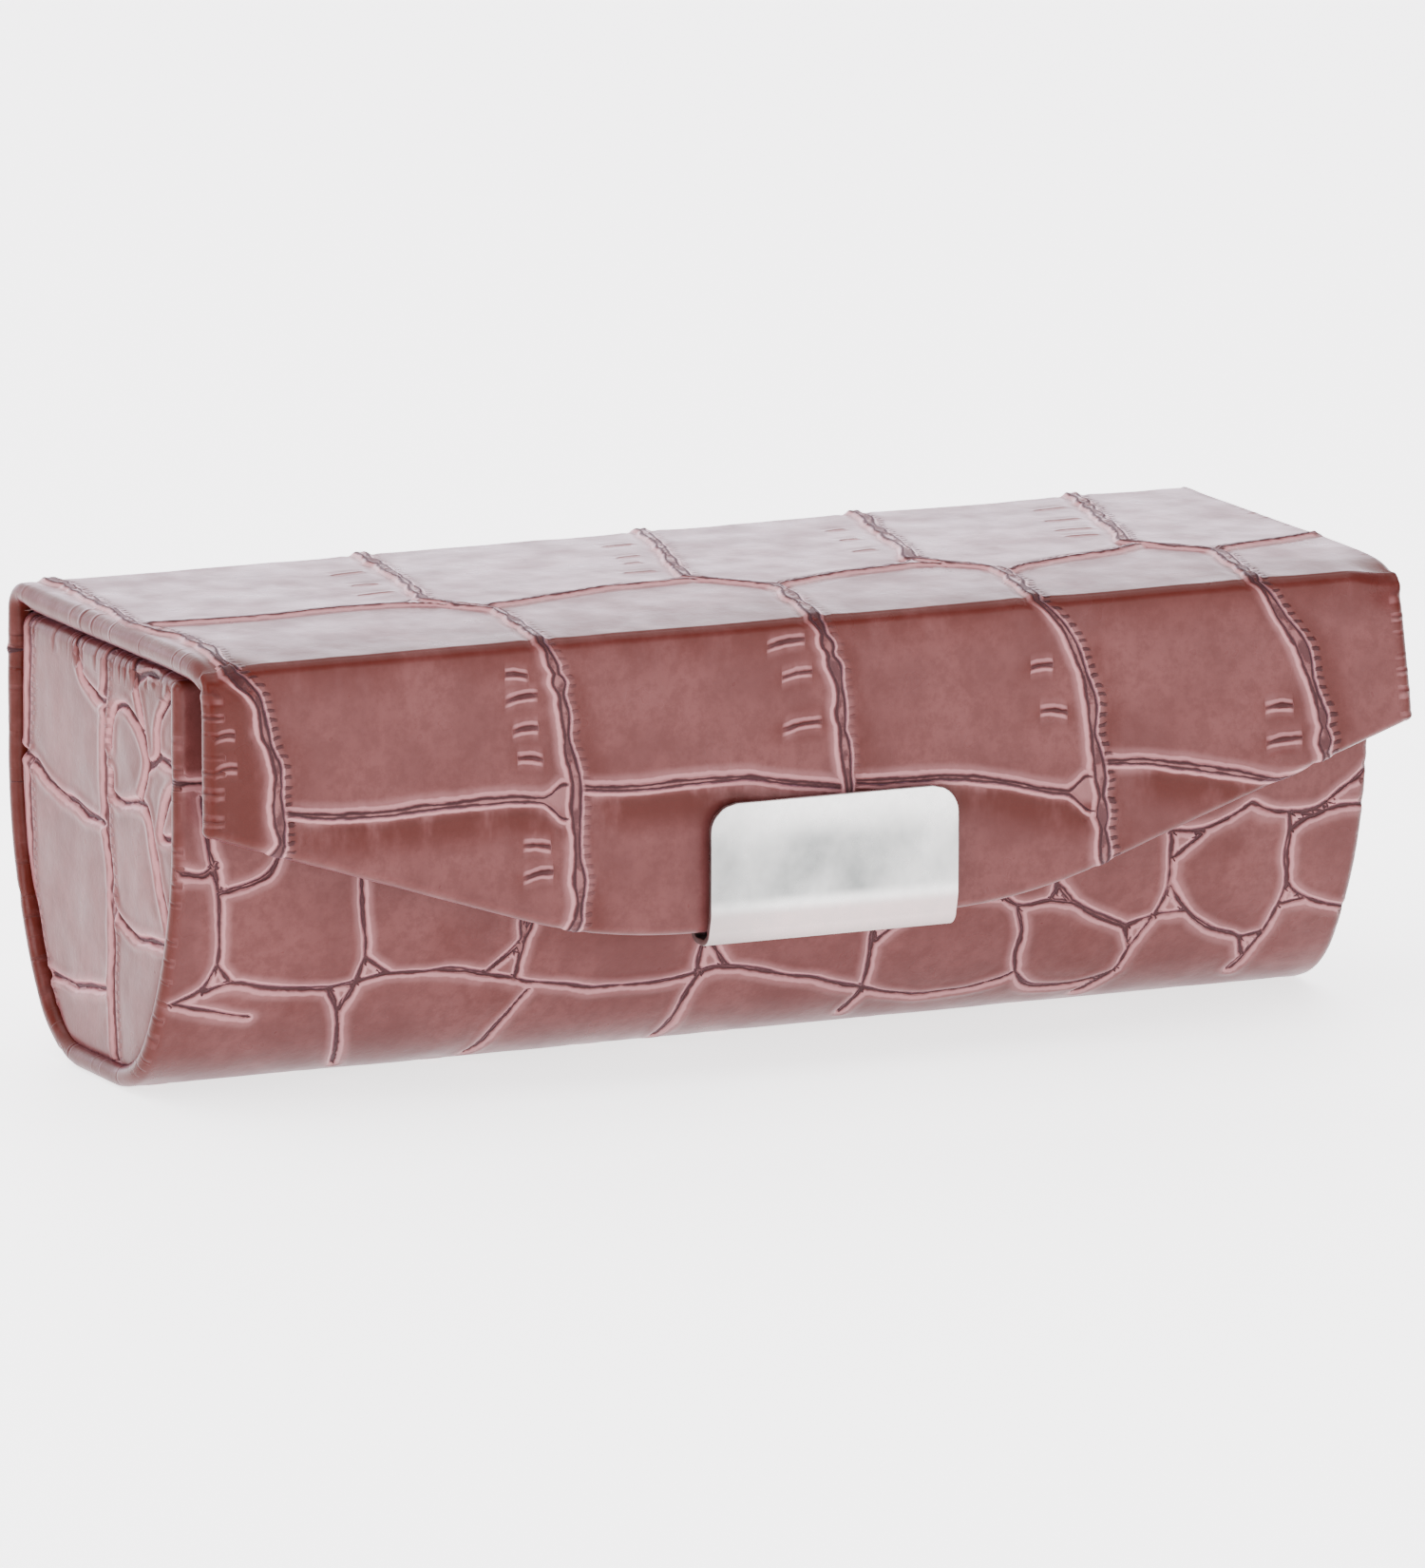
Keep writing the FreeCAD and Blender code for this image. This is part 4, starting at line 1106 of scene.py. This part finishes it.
# ---- materials ----------------------------------------------------------------------------
class Tree:
    """Short names for building a material's node tree."""

    def __init__(self, name):
        self.mat = bpy.data.materials.new(name)
        self.mat.use_nodes = True
        self.nodes = self.mat.node_tree.nodes
        self.links = self.mat.node_tree.links
        self.shader = self.nodes["Principled BSDF"]
        self.coords = self.nodes.new("ShaderNodeTexCoord").outputs["Object"]

    def put(self, socket, value):
        if isinstance(value, bpy.types.NodeSocket):
            self.links.new(value, socket)
        else:
            socket.default_value = value

    def noise(self, scale, detail=3.0, rough=0.55, stretch=(1, 1, 1), distort=0.0):
        place = self.nodes.new("ShaderNodeMapping")
        place.inputs["Scale"].default_value = stretch
        self.links.new(self.coords, place.inputs["Vector"])
        node = self.nodes.new("ShaderNodeTexNoise")
        self.links.new(place.outputs["Vector"], node.inputs["Vector"])
        node.inputs["Scale"].default_value = scale
        node.inputs["Detail"].default_value = detail
        node.inputs["Roughness"].default_value = rough
        node.inputs["Distortion"].default_value = distort
        return node.outputs["Fac"]

    def ramp(self, value, low, high, a=0.0, b=1.0):
        node = self.nodes.new("ShaderNodeMapRange")
        node.interpolation_type = "SMOOTHSTEP"
        self.links.new(value, node.inputs["Value"])
        node.inputs["From Min"].default_value = low
        node.inputs["From Max"].default_value = high
        node.inputs["To Min"].default_value = a
        node.inputs["To Max"].default_value = b
        return node.outputs["Result"]

    def mix(self, share, a, b, blend="MIX"):
        node = self.nodes.new("ShaderNodeMix")
        node.data_type = "RGBA"
        node.blend_type = blend
        self.put(node.inputs[0], share)
        self.put(node.inputs[6], a)
        self.put(node.inputs[7], b)
        return node.outputs[2]

    def math(self, kind, a, b=0.0):
        node = self.nodes.new("ShaderNodeMath")
        node.operation = kind
        self.put(node.inputs[0], a)
        self.put(node.inputs[1], b)
        return node.outputs[0]

    def values(self, name):
        """The four values of one per-vertex layer."""
        node = self.nodes.new("ShaderNodeAttribute")
        node.attribute_name = name
        split = self.nodes.new("ShaderNodeSeparateColor")
        self.links.new(node.outputs["Color"], split.inputs["Color"])
        return split.outputs[0], split.outputs[1], split.outputs[2], node.outputs["Alpha"]

    def line(self, name, width):
        """Cut and raised lip of the nearest line in a layer, how far outside it a point is, and the share
        of painted highlight on the cell margin beside it.
        """
        n, gap, far, strength = self.values(name)
        wander = self.ramp(self.noise(900, 2), 0.2, 0.8, -0.06, 0.06)
        near = self.math("ABSOLUTE", n)
        blend = self.ramp(far, 0.22, 0.4)
        near = self.math("ADD", near, self.math("MULTIPLY", blend, self.math("SUBTRACT", far, near)))
        edge = self.math("SUBTRACT", near, self.math("ADD", gap, wander))
        strength = self.math("MULTIPLY", strength, self.ramp(far, 1.8, 2.4, 1.0, 0.0))
        thick = self.ramp(self.noise(520, 2), 0.3, 0.7, 0.55 * width, 1.3 * width)
        cut = self.ramp(self.math("DIVIDE", self.math("ABSOLUTE", edge), thick), 0.3, 1.6, 1.0, 0.0)
        off = self.math("ABSOLUTE", self.math("SUBTRACT", edge, 0.3))
        lip = self.ramp(off, 0.05, 0.2, 1.0, 0.0)
        # Share of painted highlight on the cell margin just outside the line.
        painted_margin_highlight = self.math("MULTIPLY", self.ramp(edge, 0.35, 1.1, 1.0, 0.0), strength)
        return self.math("MULTIPLY", cut, strength), self.math("MULTIPLY", lip, strength), edge, painted_margin_highlight

    def bump(self, height, distance, strength=1.0, normal=None):
        node = self.nodes.new("ShaderNodeBump")
        self.links.new(height, node.inputs["Height"])
        node.inputs["Distance"].default_value = distance
        node.inputs["Strength"].default_value = strength
        if normal is not None:
            self.links.new(normal, node.inputs["Normal"])
        return node.outputs["Normal"]

    def set(self, **values):
        for key, value in values.items():
            self.put(self.shader.inputs[key.replace("_", " ")], value)
        return self.mat


def leather_material():
    """Embossed leather-look sheet: rose brown, rusty stains, dark cuts, with painted highlight on the
    raised lips and the cell margins beside them.
    """
    t = Tree("croc_leather")
    run, teeth, stain, wear_and_painted_shade = t.values("marks")
    cut_a, lip_a, edge_a, painted_margin_highlight_a = t.line("across", 0.12)
    cut_b, lip_b, _, painted_margin_highlight_b = t.line("along", 0.095)
    side = t.values("across")[0]
    outside = t.ramp(t.math("ABSOLUTE", t.math("SUBTRACT", edge_a, 0.62)), 0.18, 0.42, 1.0, 0.0)
    uneven = t.ramp(t.noise(700, 2), 0, 1, 0, 5)
    beat = t.math("SINE", t.math("ADD", t.math("MULTIPLY", run, 9.2), uneven))
    right = t.math("GREATER_THAN", side, 0.0)
    tooth = t.math("MULTIPLY", t.ramp(beat, 0.1, 0.7), t.math("MULTIPLY", outside, right))
    tooth = t.math("MULTIPLY", tooth, t.math("MULTIPLY", teeth, t.values("across")[3]))
    cut = t.math("MAXIMUM", t.math("MAXIMUM", cut_a, cut_b), t.math("MULTIPLY", tooth, 0.8))
    inner = t.math("MULTIPLY", t.ramp(edge_a, 0.0, -0.08), t.ramp(t.noise(620, 3, 0.6), 0.42, 0.56))
    cut = t.math("MAXIMUM", cut, t.math("MULTIPLY", inner, 0.75))
    lip = t.math("MAXIMUM", lip_a, lip_b)

    rose, deep = (0.108, 0.034, 0.033, 1), (0.077, 0.0215, 0.0205, 1)
    # The first colour on the next line is painted highlight, for the raised lips and the cell margins.
    painted_highlight, dark = (0.36, 0.160, 0.170, 1), (0.018, 0.004, 0.006, 1)
    rust = (0.047, 0.0045, 0.0018, 1)
    cloud = t.ramp(t.noise(140, 4, 0.6), 0.35, 0.7)
    base = t.mix(cloud, rose, deep)
    streak = t.ramp(t.noise(300, 4, 0.65, (1, 0.5, 0.3)), 0.52, 0.75, 0, 0.45)
    base = t.mix(streak, base, deep)
    grain = t.ramp(t.noise(950, 4, 0.7), 0.38, 0.66, 0.0, 0.55)
    base = t.mix(grain, base, (0.068, 0.0175, 0.0162, 1))
    # Painted highlight: the cell margins beside the lines are lightened.
    base = t.mix(t.math("MULTIPLY", t.math("MAXIMUM", painted_margin_highlight_a, painted_margin_highlight_b), 0.3), base, painted_highlight)
    mottled = t.math("MULTIPLY", stain, t.ramp(t.noise(260, 4, 0.65, (1, 1, 0.45)), 0.3, 0.56))
    base = t.mix(mottled, base, rust)
    # The fourth marks value holds wear on creases, ends and rims, and painted shade on the end panels.
    wear_and_painted_shade = t.math("MULTIPLY", wear_and_painted_shade, t.ramp(t.noise(500, 3), 0.25, 0.6, 0.6, 1.0))
    # Painted highlight on the raised lips beside each cut.
    base = t.mix(t.math("MULTIPLY", lip, 0.75), base, painted_highlight)
    base = t.mix(wear_and_painted_shade, base, rust)
    base = t.mix(t.math("MULTIPLY", cut, 0.9), base, dark)

    fine = t.math("SUBTRACT", t.math("MULTIPLY", lip, 0.05), t.math("MULTIPLY", cut, 0.11))
    normal = t.bump(fine, 0.001, 1.0)
    normal = t.bump(t.noise(1100, 4, 0.65), 0.00005, 0.5, normal)
    normal = t.bump(t.noise(3200, 3, 0.7), 0.00002, 0.5, normal)
    rough = t.ramp(t.noise(240, 3), 0.3, 0.75, 0.27, 0.4)
    rough = t.math("ADD", rough, t.math("MULTIPLY", cut, 0.3))
    t.set(Specular_IOR_Level=0.15, IOR=1.45)
    t.set(Sheen_Weight=0.08, Sheen_Roughness=0.35, Sheen_Tint=(0.85, 0.45, 0.72, 1))
    return t.set(Base_Color=base, Roughness=rough, Normal=normal)


def satin_material():
    """Lightly scuffed plate. A darker band across its middle and a pink tint on its lower roll are painted
    reflection; its darker left side is painted shadow.
    """
    t = Tree("satin_metal")
    split = t.nodes.new("ShaderNodeSeparateXYZ")
    t.links.new(t.coords, split.inputs["Vector"])
    height = split.outputs["Z"]
    # Painted reflection: a darker, patchy band across the plate's middle.
    darker_share = t.math("MULTIPLY", t.ramp(height, 0.0124, 0.0134), t.ramp(height, 0.0195, 0.0165))
    cloud = t.ramp(t.noise(150, 4, 0.55, (1, 1, 0.8)), 0.25, 0.75)
    darker_share = t.math("MULTIPLY", darker_share, t.math("ADD", t.math("MULTIPLY", cloud, 0.55), 0.35))
    # Painted reflection: pink tint on the lower rolled band.
    rolled = t.ramp(height, 0.0128, 0.0118)
    plate_with_painted_roll_reflection = t.mix(rolled, (0.70, 0.685, 0.675, 1), (0.50, 0.40, 0.395, 1))
    base = t.mix(darker_share, plate_with_painted_roll_reflection, (0.10, 0.11, 0.108, 1))
    shadow = t.math("MULTIPLY", t.ramp(split.outputs["X"], -0.002, -0.008), t.ramp(cloud, 0, 1, 0.35, 0.7))
    base = t.mix(shadow, base, (0.20, 0.20, 0.198, 1))
    grain = t.ramp(t.noise(900, 4, 0.7), 0.35, 0.7)
    base = t.mix(t.math("MULTIPLY", grain, 0.18), base, (0.30, 0.31, 0.305, 1))
    rough = t.ramp(t.noise(420, 4, 0.65), 0.3, 0.75, 0.24, 0.4)
    normal = t.bump(t.noise(1500, 3, 0.6, (0.06, 1, 1)), 0.00001, 0.35)
    normal = t.bump(t.noise(260, 3, 0.6), 0.00003, 0.5, normal)
    return t.set(Base_Color=base, Metallic=1.0, Roughness=rough, Normal=normal)


def velvet_material():
    """Short dusty rose pile with a soft sheen."""
    t = Tree("velvet")
    brushed = t.ramp(t.noise(90, 3, 0.6, (1, 1, 0.6)), 0.35, 0.7)
    base = t.mix(brushed, (0.20, 0.075, 0.072, 1), (0.125, 0.042, 0.040, 1))
    pile = t.ramp(t.noise(5200, 2, 0.7), 0.3, 0.7)
    base = t.mix(t.math("MULTIPLY", pile, 0.35), base, (0.30, 0.14, 0.135, 1))
    normal = t.bump(t.noise(3400, 3, 0.7), 0.00006, 0.6)
    normal = t.bump(t.noise(700, 3, 0.6), 0.00008, 0.4, normal)
    t.set(Base_Color=base, Roughness=0.92, Normal=normal, Sheen_Weight=0.9, Sheen_Roughness=0.45)
    return t.set(Sheen_Tint=(0.9, 0.62, 0.6, 1))


def mirror_material():
    t = Tree("mirror")
    darker_share = t.ramp(t.noise(120, 3), 0.3, 0.8)
    base = t.mix(darker_share, (0.90, 0.92, 0.92, 1), (0.86, 0.89, 0.885, 1))
    return t.set(Base_Color=base, Metallic=1.0, Roughness=t.ramp(t.noise(300, 2), 0.3, 0.8, 0.015, 0.05))


def steel_material(name, light, dark, low, high):
    """Plated or plain steel with fine wear."""
    t = Tree(name)
    cloud = t.ramp(t.noise(480, 4, 0.65), 0.35, 0.7)
    base = t.mix(cloud, light, dark)
    rough = t.ramp(t.noise(900, 3, 0.6), 0.3, 0.75, low, high)
    return t.set(Base_Color=base, Metallic=1.0, Roughness=rough, Normal=t.bump(t.noise(2600), 0.00001, 0.4))


def pad_material():
    t = Tree("adhesive_pad")
    cells = t.ramp(t.noise(1500, 3, 0.7), 0.35, 0.7)
    base = t.mix(cells, (0.05, 0.048, 0.046, 1), (0.025, 0.024, 0.023, 1))
    return t.set(Base_Color=base, Roughness=0.85, Normal=t.bump(t.noise(2200), 0.00004, 0.6))


def board_material():
    t = Tree("greyboard")
    flecks = t.ramp(t.noise(1800, 4, 0.7), 0.4, 0.7)
    base = t.mix(flecks, (0.40, 0.37, 0.33, 1), (0.27, 0.25, 0.22, 1))
    return t.set(Base_Color=base, Roughness=0.9, Normal=t.bump(t.noise(2500), 0.00003))


def plain_floor_material():
    t = Tree("floor")
    base = t.mix(t.ramp(t.noise(3.0), 0.3, 0.7), (0.92, 0.92, 0.92, 1), (0.90, 0.90, 0.905, 1))
    t.set(Emission_Color=(1, 1, 1, 1), Emission_Strength=2.2)
    return t.set(Base_Color=base, Roughness=0.6)


# ---- studio -------------------------------------------------------------------------------
def studio():
    """Near-white sweep, soft lights and a white world."""
    back, half, rise, curve, rows = 1.6, 4.0, 3.0, 0.8, 12
    turn = np.linspace(0.1, math.pi / 2, 10)
    ys = np.concatenate([np.linspace(-3.0, back, rows), back + curve * np.sin(turn), [back + curve]])
    zs = np.concatenate([np.zeros(rows), curve - curve * np.cos(turn), [rise]])
    xx = np.linspace(-half, half, 9)
    grid_x, grid_y = np.meshgrid(xx, ys)
    grid_z = np.repeat(zs[:, None], len(xx), 1)
    points = np.stack([grid_x, grid_y, grid_z], -1) / MM
    floor = make_mesh("floor", points.reshape(-1, 3), grid_faces(*grid_x.shape))
    floor.data.materials.append(plain_floor_material())

    def area(name, place, aim, size, power, tint=(1, 1, 1)):
        data = bpy.data.lights.new(name, "AREA")
        data.shape = "RECTANGLE"
        data.size, data.size_y = size
        data.energy = power
        data.color = tint
        lamp = bpy.data.objects.new(name, data)
        bpy.context.scene.collection.objects.link(lamp)
        lamp.location = place
        direction = np.array(aim) - np.array(place)
        lamp.rotation_euler = Vector(direction).to_track_quat("-Z", "Y").to_euler()

    middle = (0.0, 0.0, 0.02)
    area("overhead", (0.0, 0.0, 0.8), middle, (1.2, 0.9), 14.0, (1.0, 0.96, 0.98))
    area("rear", (0.1, 1.1, 0.22), middle, (1.6, 0.35), 5.5, (0.93, 0.74, 1.0))
    area("left", (-0.85, -0.2, 0.35), middle, (0.6, 0.6), 9.0, (1.0, 0.93, 0.97))
    area("front", (0.3, -1.0, 0.5), middle, (0.8, 0.5), 2.0)
    area("low", (0.1, -0.9, 0.10), middle, (1.4, 0.2), 4.5)

    world = bpy.data.worlds.new("world")
    world.use_nodes = True
    shade = world.node_tree.nodes["Background"]
    shade.inputs["Color"].default_value = (1.0, 1.0, 1.0, 1)
    shade.inputs["Strength"].default_value = 0.7
    bpy.context.scene.world = world


def camera():
    """Long lens from the front left, a little above the case."""
    azimuth, elevation, distance = math.radians(-24.9), math.radians(11.12), 1.3024
    data = bpy.data.cameras.new("camera")
    data.lens = 424.0
    data.sensor_width = 36.0
    data.shift_x, data.shift_y = 0.01375, 0.00907
    data.clip_end = 20.0
    cam = bpy.data.objects.new("camera", data)
    bpy.context.scene.collection.objects.link(cam)
    back = (
        math.sin(azimuth) * math.cos(elevation),
        -math.cos(azimuth) * math.cos(elevation),
        math.sin(elevation),
    )
    cam.location = (back[0] * distance, back[1] * distance, 0.016 + back[2] * distance)
    cam.rotation_mode = "QUATERNION"
    cam.rotation_quaternion = (-Vector(back)).to_track_quat("-Z", "Y")
    bpy.context.scene.camera = cam


# ---- assembly -----------------------------------------------------------------------------
def place(obj, material, slot, body, *nodes):
    """Gives a piece its material, hides the parts it stands for and, where it is stiff, attaches it to its
    body.
    """
    obj.data.materials.append(material)
    if body:
        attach(obj, body)
    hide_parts(*nodes)


def build():
    """Makes every piece. The four pieces that cross a fold get no body; their placement is baked into their
    meshes.
    """
    leather = leather_material()
    satin = satin_material()
    board = board_material()

    place(trough_leather(), leather, "croc_leather", "case_body", "body_cover")
    for name, side in (("left_end", -1), ("right_end", 1)):
        panel = end_leather(name + "_leather", side)
        place(panel, leather, "croc_leather", "case_body", name + "_cover")

    lid = lid_leather()
    place(lid, leather, "croc_leather", None, "lid_cover", "rear_hinge_leather")
    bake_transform(lid)

    flap = flap_leather()
    place(flap, leather, "croc_leather", None, "flap_cover", "flap_fold_leather")
    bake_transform(flap)

    for sheet, body in ((flap_board_sheet(), "flap"), (lid_board_sheet(), "lid")):
        place(sheet, board, "greyboard", body, body + "_board")
    place(clasp_clip(), satin, "satin_metal", "flap", "clasp_plate")

    velvet = velvet_material()
    linings = (
        (trough_velvet(), "case_body", "body_lining"),
        (end_velvet("left_end_velvet", -1), "case_body", "left_end_lining"),
        (end_velvet("right_end_velvet", 1), "case_body", "right_end_lining"),
        (ring_bed(), "case_body", "ring_foam"),
        (ring_rolls(), "case_body", "ring_rolls"),
        (divider_velvet(), "case_body", "compartment_divider"),
        (lid_velvet(), "lid", "lid_lining"),
        (flap_velvet(), "flap", "flap_lining"),
    )
    for lining, body, node in linings:
        place(lining, velvet, "velvet", body, node)

    gusset = hinge_velvet()
    place(gusset, velvet, "velvet", None, "rear_hinge_lining")
    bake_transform(gusset)
    gusset = fold_velvet()
    place(gusset, velvet, "velvet", None, "flap_fold_lining")
    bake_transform(gusset)

    place(mirror_plate(), mirror_material(), "mirror", "lid", "mirror_glass")

    steel = steel_material("steel", (0.30, 0.30, 0.295, 1), (0.21, 0.21, 0.205, 1), 0.3, 0.5)
    nickel = steel_material("magnet", (0.23, 0.225, 0.22, 1), (0.16, 0.158, 0.155, 1), 0.18, 0.32)
    carried = {"strike_plate": steel, "magnet_cup": steel, "clasp_magnet": nickel}
    carried["mirror_pad"] = pad_material()
    for node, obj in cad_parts.items():
        if not obj.hide_render:
            obj.data.materials.clear()
            obj.data.materials.append(carried.get(node, board))


build()
studio()
camera()
